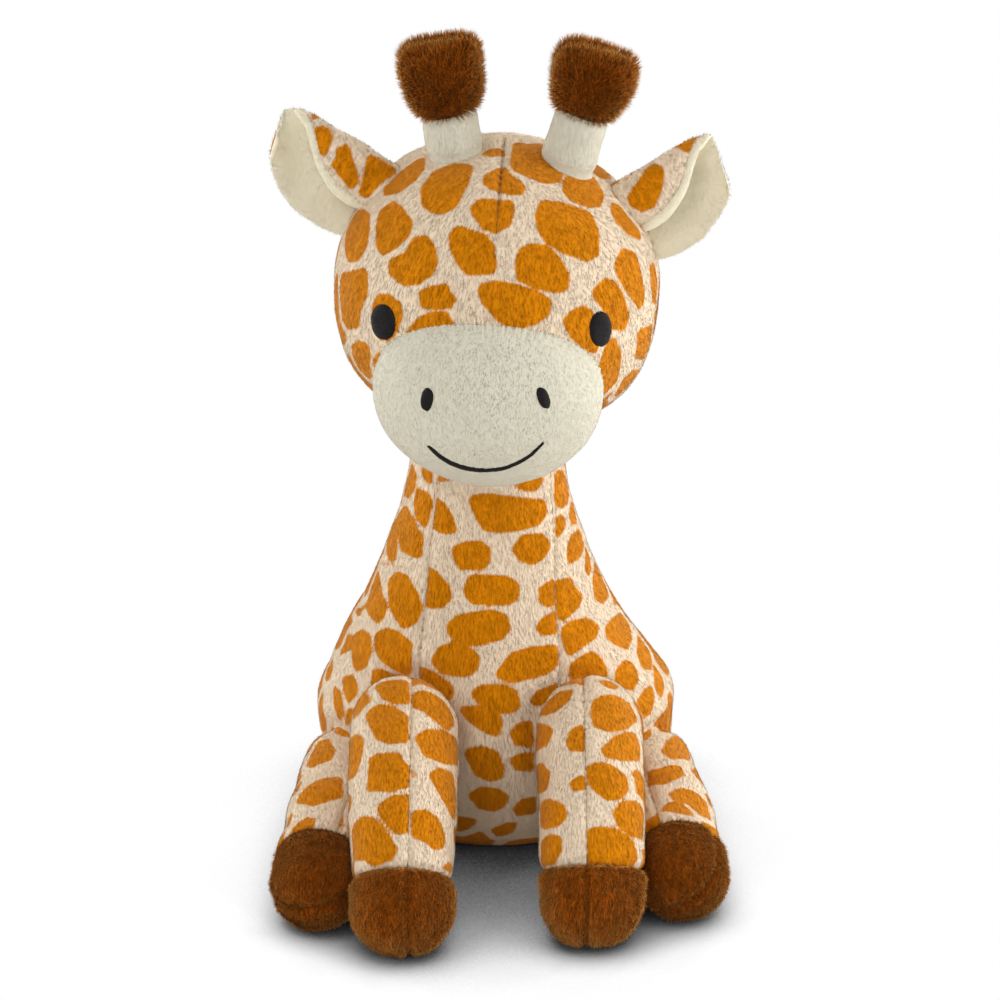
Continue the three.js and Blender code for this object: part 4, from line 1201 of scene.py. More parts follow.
class GIRAFFE_OT_legs(bpy.types.Operator):
    """Sew the four legs: two printed halves and a brown hoof each"""

    bl_idname = "giraffe.legs"
    bl_label = "Sew legs"

    def execute(self, context):
        for number, leg in enumerate(LEGS):
            points, faces = limb_surface(leg)
            normals = normals_of(points, faces)
            root, tip = leg["root"], leg["tip"]
            heading = limb_heading(leg, 1.0)
            ring = (points - tip) @ heading - (leg["radii"][2] - settings("legs").hoof)
            near_end = np.linalg.norm(points - tip, axis=1) < 34 * MM
            ring = np.where(near_end, ring, -1.0)
            sideways = unit(X_AXIS - heading * heading[0])
            lean = leg["seam"] * leg["side"]
            hoof_seam = (points - tip) @ (sideways * math.cos(lean) + np.cross(heading, sideways) * math.sin(lean))
            hoof_seam += 0 if lean else leg["side"] * leg["aside"]
            chord = unit(tip - root)
            across = unit(X_AXIS - chord * chord[0]) * leg["side"]
            middle = (points - root) @ across + leg["aside"]
            along = (points - root) @ chord
            swell = lumps(points, (24, 0.45, 30 + number), (9, 0.1, 40 + number))
            pull = groove(ring, 1.5 * MM, 1.6 * MM) * seam_pull(middle, number)
            pull += np.where(ring < 0, groove(middle, 0.9 * MM, 1.2 * MM),
                             groove(hoof_seam, 1.7 * MM, 1.6 * MM)) * seam_pull(along, number)
            pull += groove(body_depth(points), 1.6 * MM, 3.5 * MM)
            points = points + normals * (swell - pull)[:, None]
            points[:, 2] = pressed(points[:, 2], 1.6 * MM)
            surface = Surface(points, faces)
            points, in_hoof = split_along(points, faces, ring)
            middle = np.where(np.abs(ring) < 0.05 * MM, np.where(middle > 0, MM, -MM), middle)
            points, is_outer = split_along(points, faces, middle)
            normals = normals_of(points, faces)
            nap = nap_along(normals, heading * 0.6 + chord * 0.4)
            off_body = (body_depth(points) > -3 * MM).astype(float)
            values = {"nap": nap, "furred": off_body * (points[:, 2] > 1.3 * MM)}
            name, body = leg["name"], f"{leg['name']}_leg"
            for half, chosen, table in (("outer", is_outer & ~in_hoof, LEG_SPOTS[name][0]),
                                        ("inner", ~is_outer & ~in_hoof, LEG_SPOTS[name][1])):
                part = faces[chosen]
                value = print_on(points, normals, part, Spots(surface, table), 17 * MM, 50 + number)
                outward = across if half == "outer" else -across
                nodes = [f"{name}_leg_{half}_side"] + ([f"{name}_leg_stuffing"] if half == "outer" else [])
                sewn(f"{name}_leg_{half}_cloth", points, part, dict(values, print=value),
                     chart_about(points, (root + tip) / 2, outward), PRINTED, body, nodes, 60 + number)
            hoof_values = {"nap": nap, "furred": off_body}
            hoof = sewn(f"{name}_hoof_cloth", points, faces[in_hoof], hoof_values,
                        chart_about(points, tip - heading * 5 * MM, heading), BROWN, body, [f"{name}_hoof"],
                        70 + number, density=3.9, Length=2.4 * MM, Lean=1.0, Stray=0.26)
            place = np.zeros(len(hoof.data.vertices) * 3, np.float32)
            hoof.data.vertices.foreach_get("co", place)
            place[2::3] = pressed(place[2::3], 0.5 * MM)
            hoof.data.vertices.foreach_set("co", place)
            hoof.data.update()
        return {"FINISHED"}


# Head

HEAD_CENTRE = np.array([0, -2, 209]) * MM
MUZZLE_CENTRE = np.array([0, -44, 181.8]) * MM
HEAD_TILT, HEAD_ASIDE = math.radians(3), math.radians(2.5)
HEAD_BACK_SEAM = 12 * MM
CROWN = 238 * MM  # above this the face's dart is sewn, and no spot is spread between the ears
CROWN_HALF = 24 * MM


def head_turn():
    """The head's lean to its left and its turn to its right, as one rotation."""
    lean_cos, lean_sin = math.cos(HEAD_TILT), math.sin(HEAD_TILT)
    turn_cos, turn_sin = math.cos(HEAD_ASIDE), math.sin(HEAD_ASIDE)
    tilt = np.array([[lean_cos, 0, lean_sin], [0, 1, 0], [-lean_sin, 0, lean_cos]])
    return tilt @ np.array([[turn_cos, turn_sin, 0], [-turn_sin, turn_cos, 0], [0, 0, 1]])


def turned(points):
    """From the head's own upright frame to its leaning place."""
    return (points - HEAD_CENTRE) @ head_turn().T + HEAD_CENTRE


def ball_reach(start, rays, centre, halves):
    """How far each ray from a point inside an ellipsoid runs to its surface."""
    offset, rays = (start - centre) / halves, rays / halves
    a = (rays ** 2).sum(axis=1)
    b = rays @ offset
    c = offset @ offset - 1
    return (-b + np.sqrt(b * b - a * c)) / a


def head_halves(lift):
    """Half sizes of skull and muzzle, with the skin lifted off them."""
    head = settings("head")
    return (np.array([head.half_width, head.half_depth, head.half_height]) + lift,
            np.array([head.muzzle_width, head.muzzle_depth, head.muzzle_height]) + lift)


def globe(around=320, rings=220):
    """Directions all round, closest together towards the face."""
    lean = np.linspace(0, math.pi, rings + 2)[1:-1]
    angle = turns(around)
    rows = np.stack([np.sin(lean)[:, None] * np.cos(angle), -np.cos(lean)[:, None] * np.ones(around),
                     np.sin(lean)[:, None] * np.sin(angle)], -1)
    rays = np.concatenate([[[0, -1, 0]], rows.reshape(-1, 3), [[0, 1, 0]]])
    return rays, lathe_faces(rings, around)


HEAD_START = np.array([0, -24, 196]) * MM
HEAD_SPOTS = (
    (383, 196, 383, 188, 402, 172, 426, 156, 425, 168, 416, 180, 399, 193),
    (437, 170, 458, 162, 473, 163, 467, 182, 454, 208, 442, 215, 432, 213, 424, 207, 422, 190),
    (480, 156, 490, 149, 504, 150, 505, 155, 492, 157),
    (482, 183, 482, 177, 490, 171, 503, 167, 509, 175, 521, 183, 527, 191, 525, 195, 512, 195, 499, 191, 489, 188),
    (514, 141, 528, 138, 544, 143, 547, 156, 556, 163, 562, 177, 558, 184, 545, 185, 532, 180, 514, 172, 510, 167),
    (562, 162, 583, 170, 573, 170),
    (564, 183, 573, 174, 584, 172, 593, 176, 604, 195, 600, 206, 588, 207, 571, 201, 564, 194),
    (470, 207, 477, 200, 495, 201, 514, 202, 514, 213, 510, 226, 496, 234, 484, 229, 473, 215),
    (539, 201, 558, 203, 592, 215, 599, 231, 599, 257, 592, 261, 568, 252, 547, 241, 538, 228, 535, 213),
    (381, 209, 391, 201, 400, 207, 413, 224, 410, 235, 397, 248, 382, 256, 378, 248, 378, 224),
    (360, 209, 369, 215, 369, 233, 366, 250, 359, 261, 350, 261, 346, 250, 348, 228, 354, 215),
    (454, 226, 471, 232, 486, 237, 494, 248, 497, 270, 495, 275, 469, 276, 458, 263, 449, 241, 450, 231),
    (519, 248, 529, 244, 547, 247, 560, 261, 570, 280, 569, 291, 560, 292, 536, 287, 516, 278, 515, 259),
    (417, 237, 428, 235, 436, 246, 439, 263, 434, 274, 419, 284, 402, 286, 387, 274, 387, 266, 402, 259, 411, 250),
    (341, 275, 356, 272, 369, 269, 368, 289, 360, 306, 357, 328, 347, 329, 343, 322, 340, 293),
    (417, 293, 428, 288, 447, 284, 451, 293, 458, 300, 454, 306, 434, 309, 419, 307),
    (401, 338, 409, 328, 421, 317, 436, 312, 451, 312, 458, 324, 442, 330, 423, 336),
    (474, 285, 490, 282, 516, 287, 547, 298, 555, 304, 553, 313, 540, 322, 525, 327, 503, 324, 490, 311, 477, 296),
    (560, 319, 570, 309, 582, 304, 591, 309, 593, 318, 589, 330, 597, 345, 597, 356, 585, 350, 570, 336),
    (589, 289, 601, 276, 612, 279, 621, 293, 627, 311, 629, 324, 626, 332, 614, 331, 608, 315, 601, 302),
    (614, 259, 621, 246, 634, 251, 640, 272, 644, 304, 642, 312, 634, 300, 623, 283, 614, 267),
    (610, 201, 618, 205, 631, 222, 642, 237, 642, 242, 629, 235, 614, 220, 609, 209),
    (649, 263, 653, 261, 657, 280, 658, 306, 653, 306, 651, 285),
    (637, 330, 652, 324, 652, 350, 645, 358, 635, 356),
    (612, 334, 620, 351, 619, 368, 614, 387, 604, 397, 600, 397, 602, 376, 602, 360, 606, 345),
    (633, 370, 640, 369, 637, 377, 623, 391, 615, 397, 614, 395, 623, 379),
    (594, 417, 597, 411, 606, 407, 602, 412),
    (374, 303, 379, 294, 391, 295, 401, 303, 402, 314, 397, 330, 388, 341, 379, 340, 374, 333),
    (352, 347, 360, 340, 369, 343, 370, 353, 368, 362, 372, 377, 368, 379, 360, 371, 353, 356),
    (372, 362, 377, 353, 384, 353, 377, 362, 373, 368),
    (348, 366, 356, 377, 365, 387, 370, 393, 361, 387, 350, 374),
)


def head_skin():
    """Skull and muzzle run together, in their leaning place, and how far each point lies past the seams."""
    rays, faces = globe()
    head, muzzle = head_halves(settings("plush").lift)
    skull = ball_reach(HEAD_START, rays, HEAD_CENTRE, head)
    snout = ball_reach(HEAD_START, rays, MUZZLE_CENTRE, muzzle)
    own = settings("head")
    from_centre = HEAD_START + rays * skull[:, None] - HEAD_CENTRE
    side, ahead, up = (from_centre / head).T
    level = np.hypot(side, ahead)
    fuller = (level ** own.cheeks + np.abs(up) ** own.cheeks) ** (-1 / own.cheeks) - 1
    swell = np.where(up < 0, fuller * side ** 2 / level ** 2, -own.flat_top * up ** 4)
    skull = skull + swell * (from_centre * rays).sum(axis=1)
    soft = own.blend
    most = np.maximum(skull, snout)
    reach = most + soft * np.log(np.exp((skull - most) / soft) + np.exp((snout - most) / soft)) - 0.2 * soft
    points = HEAD_START + rays * reach[:, None]
    faces = faced_out(points, faces)
    x, y, z = points.T
    in_snout = snout - skull
    back = y - HEAD_BACK_SEAM
    uneven = lumps(points, (38, 0.4, 5), (12, 0.1, 6))
    around = np.arctan2(z - MUZZLE_CENTRE[2], x) * 40 * MM
    pull = groove(in_snout * 0.8, 1.1 * MM, 1.9 * MM) * seam_pull(around, 3)
    pull += groove(back, 1.2 * MM, 1.8 * MM) * seam_pull(x + z, 4)
    dart = ramp(z - CROWN, 10 * MM) * (y < HEAD_BACK_SEAM)
    pull += groove(x, 0.9 * MM, 1.0 * MM) * seam_pull(y, 5) * dart
    return turned(points + normals_of(points, faces) * (uneven - pull)[:, None]), faces, in_snout, back, x


class GIRAFFE_OT_head(bpy.types.Operator):
    """Sew the head: two face panels with a dart, the back and the cream muzzle"""

    bl_idname = "giraffe.head"
    bl_label = "Sew head"

    def execute(self, context):
        points, faces, in_snout, back, x = head_skin()
        surface = Surface(points, faces)
        points, is_muzzle = split_along(points, faces, in_snout)
        back = np.where(np.abs(in_snout) < 0.02 * MM, -1.0, back)
        points, is_back = split_along(points, faces, back)
        side = np.where(np.abs(back) < 0.02 * MM, np.where(x > 0, 1.0, -1.0) * MM, x)
        points, is_left = split_along(points, faces, side)
        normals = normals_of(points, faces)
        rest = ~is_muzzle & ~is_back
        turn = head_turn()
        nap = nap_along(normals, turn @ np.array([0, 0.25, -1.0]))
        furred = (body_depth(points) > 1 * MM).astype(float)
        furred[points[:, 2] > 180 * MM] = 1
        furred[embroidered(points) & (points[:, 1] < HEAD_CENTRE[1])] = 0
        face_points = np.unique(faces[rest])
        value = np.full(len(points), BARE)
        spots = Spots(surface, HEAD_SPOTS).fill(points[face_points], normals[face_points], 21 * MM, 81)
        spots.spread = [row for row in spots.spread if abs(row[0][0]) > CROWN_HALF or row[0][2] < CROWN]
        value[face_points] = spots.value(points[face_points])
        values = {"nap": nap, "furred": furred}
        for name, chosen, outward in (("left", rest & is_left, X_AXIS), ("right", rest & ~is_left, -X_AXIS)):
            sewn(f"head_{name}_cloth", points, faces[chosen], dict(values, print=value),
                 chart_about(points, HEAD_CENTRE, outward - 0.4 * Y_AXIS), PRINTED, "head",
                 [f"head_{name}_panel"] + (["head_stuffing"] if name == "left" else []), 82)
        own = np.unique(faces[is_back])
        sown = own[(points[own, 1] > HEAD_BACK_SEAM + 20 * MM) | (points[own, 2] < 240 * MM)]
        value = np.full(len(points), BARE)
        value[own] = Spots().fill(points[sown], normals[sown], 21 * MM, 84).value(points[own])
        sewn("head_back_cloth", points, faces[is_back], dict(values, print=value),
             chart_about(points, HEAD_CENTRE, Y_AXIS), PRINTED, "head", ["head_back_panel"], 83, density=1.1)
        behind_muzzle = MUZZLE_CENTRE + Y_AXIS * 20 * MM
        sewn("muzzle_cloth", points, faces[is_muzzle], values, chart_about(points, behind_muzzle, -Y_AXIS),
             CREAM, "head", ["muzzle_panel"], 85, density=2.4)
        return {"FINISHED"}


# Embroidery: middles, half sizes and leans of the ovals in the picture, and the line of the mouth

EYES = {"right": (383.3, 322, 12.2, 17.6, 0), "left": (600.5, 329, 10.9, 17.4, -5)}
NOSTRILS = {"right": (427, 399.5, 6.2, 10.8, -14), "left": (543.5, 398, 5.8, 10.5, 14)}
MOUTH = ((428.5, 446), (441, 457), (455, 464.7), (470, 469), (484, 470.3), (500, 469), (515, 464), (530, 455.5),
         (543, 443))
MOUTH_MIDDLE, MOUTH_REACH = (484, 455), (75, 30)
UNDER_LINE, UNDER_OVAL = 2.4, 1.04  # no pile grows this near the mouth, nor inside an oval this much larger
FACE_PIXEL = 0.36 * MM  # a pixel of the picture, on the face


def oval_place(oval, across, along):
    """A point of an oval as a place in the picture; both shares run from -1 to 1."""
    u, v, wide, high, lean = oval
    turn = math.radians(lean)
    return (u + across * wide * math.cos(turn) + along * high * math.sin(turn),
            v - across * wide * math.sin(turn) + along * high * math.cos(turn))


def mouth_line(count):
    """Evenly spaced places along the mouth, with the line's own direction at each."""
    knots = np.array(MOUTH)
    path = run_along(knots)
    at = np.linspace(0, path[-1], count)
    places = np.stack([smooth_curve(path, knots[:, 0], at), smooth_curve(path, knots[:, 1], at)], 1)
    return places, unit(np.gradient(places, axis=0))


def embroidered(points):
    """Which points of the head lie under thread."""
    u, v = picture_place(points)
    under = np.zeros(len(points), bool)
    for oval in (*EYES.values(), *NOSTRILS.values()):
        turn = math.radians(oval[4])
        across = (u - oval[0]) * math.cos(turn) - (v - oval[1]) * math.sin(turn)
        along = (u - oval[0]) * math.sin(turn) + (v - oval[1]) * math.cos(turn)
        under |= np.hypot(across / oval[2], along / oval[3]) < UNDER_OVAL
    near = (np.abs(u - MOUTH_MIDDLE[0]) < MOUTH_REACH[0]) & (np.abs(v - MOUTH_MIDDLE[1]) < MOUTH_REACH[1])
    places = mouth_line(80)[0]
    away = np.hypot(u[near][:, None] - places[:, 0], v[near][:, None] - places[:, 1]).min(axis=1)
    under[np.flatnonzero(near)[away < UNDER_LINE]] = True
    return under


def thread_tree():
    """Turns the loose edges of a piece into round threads and keeps its padding."""
    tree = bpy.data.node_groups.get("embroidery_threads")
    if tree:
        return tree
    tree, nodes, given = piece_tree("embroidery_threads", {"Thread Radius": 0.2 * MM, "Thread Sides": 5})
    node = nodes.node
    is_thread = nodes.maths("GREATER_THAN", nodes.read("stitch"), 0.5)
    parted = node("GeometryNodeSeparateGeometry", {"Geometry": given["Geometry"], "Selection": is_thread})
    path = node("GeometryNodeMeshToCurve", {"Mesh": parted.outputs["Selection"]})
    ring = node("GeometryNodeCurvePrimitiveCircle",
                {"Resolution": given["Thread Sides"], "Radius": given["Thread Radius"]})
    sweep = node("GeometryNodeCurveToMesh",
                 {"Curve": path.outputs["Curve"], "Profile Curve": ring.outputs["Curve"], "Fill Caps": True})
    whole = nodes.joined(sweep.outputs["Mesh"], parted.outputs["Inverted"])
    smooth = node("GeometryNodeSetShadeSmooth", {"Geometry": whole})
    real = node("GeometryNodeRealizeInstances", {"Geometry": smooth.outputs["Geometry"]})
    dressed = node("GeometryNodeSetMaterial",
                   {"Geometry": real.outputs["Geometry"], "Material": given["Material"]})
    node("NodeGroupOutput", {"Geometry": dressed.outputs["Geometry"]})
    return tree


def embroider(name, padding, threads, node):
    """Padding and threads made one plain piece that rides on the head."""
    points, faces = padding
    edges, stitch, count = [], [np.zeros(len(points))], len(points)
    for thread in threads:
        edges += [(count + k, count + k + 1) for k in range(len(thread) - 1)]
        stitch.append(np.ones(len(thread)))
        count += len(thread)
    piece = mesh_object(name, np.concatenate([points, *threads]), faces, {"stitch": np.concatenate(stitch)}, edges)
    grown(piece, thread_tree(), {"Thread Radius": settings("embroidery").thread, "Material": thread_material()})
    piece.data.attributes.remove(piece.data.attributes["stitch"])
    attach(piece, "head")
    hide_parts(node)


def on_face(surface, place, rise):
    """A place of the picture on the head, lifted off it."""
    middle, normal = surface.hit(*place)
    if middle is None:
        raise RuntimeError("embroidery misses the head")
    return middle + normal * rise


def satin_oval(surface, oval, rise, tilt, seed):
    """A padded oval with threads laid side by side across it."""
    around, rings = 36, 7
    rows, sink = [], -0.9 * MM
    for share in np.linspace(0.12, 1, rings):
        rows += [on_face(surface, oval_place(oval, share * math.cos(turn), share * math.sin(turn)),
                         rise * math.sqrt(max(1 - share ** 2, 0))) for turn in turns(around)]
    rows += [on_face(surface, oval_place(oval, math.cos(turn), math.sin(turn)), sink) for turn in turns(around)]
    ends = [on_face(surface, oval_place(oval, 0, 0), height) for height in (rise, sink)]
    padding = lathe(ends[0], np.reshape(rows, (rings + 1, around, 3)), ends[1])
    rng = np.random.RandomState(seed)
    step = settings("embroidery").pitch / FACE_PIXEL / oval[3]
    threads = []
    for along in np.arange(-0.97, 0.98, step):
        half = math.sqrt(1 - along ** 2)
        ends = half * (1.03 + rng.uniform(-0.02, 0.06, 2)) + 0.03
        thread = []
        for share in np.linspace(-1, 1, 9):
            across = share * (ends[0] if share < 0 else ends[1])
            down = np.clip(along + tilt * across + rng.normal() * 0.006, -1.05, 1.05)
            edge = min(math.hypot(across, down), 1.0)
            height = rise * math.sqrt(1 - edge ** 2) + 0.12 * MM - 0.42 * MM * abs(share) ** 6
            thread.append(on_face(surface, oval_place(oval, across, down), height))
        threads.append(np.array(thread))
    return padding, threads


def satin_line(surface, seed):
    """The mouth: a padded line under short slanted threads."""
    rng = np.random.RandomState(seed)
    places, heading = mouth_line(150)
    aside = np.stack([heading[:, 1], -heading[:, 0]], 1)
    share = np.linspace(0, 1, len(places))
    half = smooth_curve((0, 0.06, 0.3, 0.55, 0.9, 1), (0.9, 1.7, 2.1, 1.7, 1.4, 0.8), share)
    rows = []
    for place, side, wide in zip(places, aside, half):
        rows += [on_face(surface, place + side * wide * 0.8 * spread, rise * MM)
                 for spread, rise in ((-1, 0.0), (0, 0.45), (1, 0.0), (0, -0.8))]
    ends = [on_face(surface, places[k], 0) for k in (0, -1)]
    padding = lathe(ends[0], np.reshape(rows, (len(places), 4, 3)), ends[1])
    threads, slant, jitter = [], 0.75, 0.05
    for place, side, along, wide in zip(places, aside, heading, half):
        across = (side + along * slant) * (wide * rng.uniform(0.92, 1.3))
        thread = [on_face(surface, place + across * spread + rng.normal(size=2) * jitter, rise * MM)
                  for spread, rise in ((-1, -0.25), (-0.55, 0.28), (0, 0.5), (0.55, 0.28), (1, -0.25))]
        threads.append(np.array(thread))
    return padding, threads


class GIRAFFE_OT_embroidery(bpy.types.Operator):
    """Embroider the eyes, the nostrils and the mouth"""

    bl_idname = "giraffe.embroidery"
    bl_label = "Embroider face"

    def execute(self, context):
        surface = Surface(*head_skin()[:2])
        work = settings("embroidery")
        for number, side in enumerate(("right", "left")):
            embroider(f"{side}_eye_embroidery", *satin_oval(surface, EYES[side], work.eye_rise, 0.16, 90 + number),
                      f"{side}_eye")
            embroider(f"{side}_nostril_embroidery",
                      *satin_oval(surface, NOSTRILS[side], work.nostril_rise, 0.35, 92 + number), f"{side}_nostril")
        embroider("mouth_embroidery", *satin_line(surface, 94), "mouth_line")
        return {"FINISHED"}


# Horns

HORN_SUNK = 3.7 * MM  # how far a stalk starts below the head's skin
# Rings of a brown tip from its seam up: height, half width and half depth, each as a share
TIP_ROWS = ((0, 0.3, 0.4), (0, 0.62, 0.8), (0.03, 0.69, 0.87), (0.18, 0.84, 0.96), (0.42, 0.96, 1.0),
            (0.66, 1.0, 0.98), (0.83, 0.96, 0.86), (0.93, 0.84, 0.62), (0.985, 0.6, 0.34), (1.0, 0.2, 0.1))


def horn_stalk(name, number, root, axes, stalk_top):
    """Sews a cream stalk, drawn in at the head and under the tip."""
    horn = settings("horns")
    rise = np.linspace(-3.5 * MM, stalk_top, 46)
    levels = np.concatenate([[-4 * MM] * 2, rise, [stalk_top + 0.5 * MM] * 2])
    radius = np.interp(levels, (0, stalk_top), (horn.stalk, horn.stalk - 0.4 * MM)) + settings("plush").lift
    radius[[0, -1]] = 1 * MM
    points, faces = pillow(levels, radius, radius * 0.98, 64)
    normals = normals_of(points, faces)
    cuff = sum(groove(points[:, 2] - seam, 0.8 * MM, 2 * MM) for seam in (1.5 * MM, stalk_top))
    points = points + normals * (lumps(points, (16, 0.3, 100 + number)) - cuff)[:, None]
    points = turned(root + points @ axes)
    normals = normals_of(points, faces)
    outward = head_turn() @ axes[2]
    level = (points - turned(root)) @ outward
    furred = ((level > 0) & (level < stalk_top)).astype(float)
    sewn(f"{name}_horn_stalk_cloth", points, faces, {"nap": nap_along(normals, outward), "furred": furred},
         chart_about(points, turned(root) - outward * 12 * MM, outward), CREAM, f"{name}_horn",
         [f"{name}_horn_stalk", f"{name}_horn_stuffing"], 102 + number, density=2.6, whole=True)


def horn_tip(name, number, root, axes, stalk_top, tip_height):
    """Sews a brown tip: a squarish pillow with a seam that runs over its top."""
    horn, lift = settings("horns"), settings("plush").lift
    sizes = np.array(TIP_ROWS) * [tip_height, horn.tip_width + lift, horn.tip_depth + lift]
    path = run_along(sizes)
    at = np.linspace(0, path[-1], 90)
    level, wide, deep = (smooth_curve(path, column, at) for column in sizes.T)
    points, faces = pillow(level, wide, deep, 120, 2.6)
    normals = normals_of(points, faces)
    uneven = lumps(points, (15, 0.4, 104 + number))
    top = ramp(points[:, 2], tip_height)
    from_seam = points[:, 1] + 1.6 * MM * top - 0.6 * MM * np.sin(points[:, 0] / (5 * MM))
    seam = groove(from_seam, (1.0 + 1.6 * top ** 2) * MM, 1.6 * MM)
    furred = (np.abs(from_seam) > 0.5 * MM * top).astype(float)
    seam = seam * seam_pull(points[:, 0] + points[:, 2], number)
    points = points + normals * (uneven - seam)[:, None]
    points = turned(root + (points + [0, 0, stalk_top]) @ axes)
    normals = normals_of(points, faces)
    centre = turned(root + axes[2] * (stalk_top + 0.3 * tip_height))
    outward = head_turn() @ axes[2]
    nap = nap_along(normals, outward) * 0.6 + unit(points - centre) * 0.4
    sewn(f"{name}_horn_tip_cloth", points, faces, {"nap": nap, "furred": furred},
         chart_about(points, centre, outward), BROWN, f"{name}_horn", [f"{name}_horn_tip"], 106 + number,
         density=4.6, whole=True)


class GIRAFFE_OT_horns(bpy.types.Operator):
    """Sew the horns: a cream stalk and a brown pillow tip each"""

    bl_idname = "giraffe.horns"
    bl_label = "Sew horns"

    def execute(self, context):
        horn = settings("horns")
        halves = head_halves(0.0)[0]
        for number, (name, side) in enumerate((("right", -1), ("left", 1))):
            across, forward = side * horn.apart + horn.aside, -horn.back
            height = halves[2] * math.sqrt(1 - (across / halves[0]) ** 2 - (forward / halves[1]) ** 2) - HORN_SUNK
            root = HEAD_CENTRE + np.array([across, forward, height])
            lean = side * horn.lean
            axes = np.array([[math.cos(lean), 0, -math.sin(lean)], [0, 1, 0], [math.sin(lean), 0, math.cos(lean)]])
            stalk_top = horn.stalk_height + side * horn.uneven
            horn_stalk(name, number, root, axes, stalk_top)
            horn_tip(name, number, root, axes, stalk_top, horn.tip_height - side * horn.tip_uneven)
        return {"FINISHED"}


# Ears

# Each ear's side, its rolled edge's root from the head's middle in millimetres and that edge's lift in degrees,
# how much shorter the bowl is along its lower rim, and how much wider the tip is in millimetres
EARS = {"right": (-1, (-39.2, 1.0, 41.2), 28.2, 0.0, 0), "left": (1, (38.7, 1.0, 38.3), 33.4, 0.085, 7)}
EAR_ROOT = -0.18  # where the ear starts inside the head, as a share of its length
EAR_SPOTS = {
    "right": (
        (369, 152, 379, 156, 392, 164,
         399, 169, 392, 173, 383, 180, 372, 190, 363, 201, 358, 198, 362, 184, 364, 171),
        (338, 143, 345, 140, 348, 145, 350, 157,
         355, 170, 359, 181, 358, 188, 353, 192, 346, 184, 338, 173, 331, 164, 336, 158),
        (318, 128, 324, 126, 330, 128, 334, 138,
         330, 148, 327, 157, 321, 154, 313, 146, 308, 137, 309, 131, 315, 136),
    ),
    "left": (
        (658, 162, 663, 164, 664, 174, 659, 194, 653, 209,
         641, 214, 630, 209, 627, 201, 633, 192, 643, 179, 650, 167),
        (672, 145, 683, 136, 699, 134, 693, 143, 688, 154, 683, 151, 676, 147),
        (610, 184, 616, 177, 624, 174, 618, 182, 611, 187),
    ),
}


def ear_sheet(side, place, lift, bowl, tip, along=58):
    """The middle of an ear: a bowl whose upper side rolls over to the front.

    Also how far each point lies from the three rims, and the shares of the ear's length.
    """
    ear = settings("ears")
    steps = (44, 22, 18)  # from the lower rim to the roll, round the roll, and down the flap
    s = np.linspace(EAR_ROOT, 1, along)
    lower = smooth_curve((-0.2, 0, 0.28, 0.5, 0.73, 0.88, 0.96, 1),
                         (27, 29.5, 31.5, 31, 27.5, 22.5 + 0.2 * tip, 17.5 + 0.5 * tip, 11 + tip), s) * MM
    flap = smooth_curve((-0.2, 0.3, 0.55, 0.75, 0.92, 1), (17, 16, 12, 6.5, 2.5, 1), s) * MM
    roll = smooth_curve((-0.2, 0.5, 1), (5.2, 4.6, 2.4), s) * MM
    turn = np.radians(smooth_curve((-0.2, 0.6, 0.85, 1), (172, 165, 125, 70), s))
    back = lower - roll
    low, bend, over = (np.linspace(0, 1, count) for count in steps)
    angle = np.concatenate([np.broadcast_to(-0.6 * (1 - low) ** 2 + 0.1 * low, (along, len(low))),
                            0.1 + turn[:, None] * bend[1:], 0.1 + turn[:, None] + 0.3 * over[None, 1:]], 1)
    for _ in range(2):
        lengths = (back, roll * turn, np.maximum(flap - roll, 0.6 * MM))
        runs = np.concatenate([np.repeat(whole[:, None] / (count - 1), count - 1, 1)
                               for whole, count in zip(lengths, steps)], 1)
        heading = (angle[:, 1:] + angle[:, :-1]) / 2
        zero = np.zeros((along, 1))
        down = np.concatenate([zero, -np.cumsum(np.cos(heading) * runs, axis=1)], 1)
        ahead = np.concatenate([zero, np.cumsum(np.sin(heading) * runs, axis=1)], 1)
        down -= down.min(axis=1, keepdims=True)
        back = back * lower / down[:, 0]
    ahead -= ahead[:, steps[0] // 2][:, None]
    share = down / lower[:, None]
    end = ramp(s - 0.6, 0.4)[:, None] ** 2
    ahead = ahead + 4.5 * MM * end * np.clip(share * 1.6, 0, 1)
    past_fold = np.arange(down.shape[1])[None, :] > down.argmin(axis=1)[:, None]
    easing = np.where(past_fold, 0, ramp(share, 0.35))
    shorter = ear.fold + (bowl - ear.fold) * easing ** 2 * (3 - 2 * easing)
    out = s[:, None] * ear.length * (1 - shorter - 0.05 * share ** 2)
    e_out = np.array([side * math.cos(lift), 0, math.sin(lift)])
    e_down = np.array([side * math.sin(lift), 0, -math.cos(lift)])
    root = HEAD_CENTRE + np.array(place) * MM
    points = root + out[..., None] * e_out + down[..., None] * e_down - ahead[..., None] * Y_AXIS
    run = np.concatenate([zero, np.cumsum(runs, axis=1)], 1)
    rims = np.stack([run, run[:, -1:] - run, np.broadcast_to((1 - s[:, None]) * ear.length, run.shape)], -1)
    return turned(points.reshape(-1, 3)).reshape(points.shape), rims, s


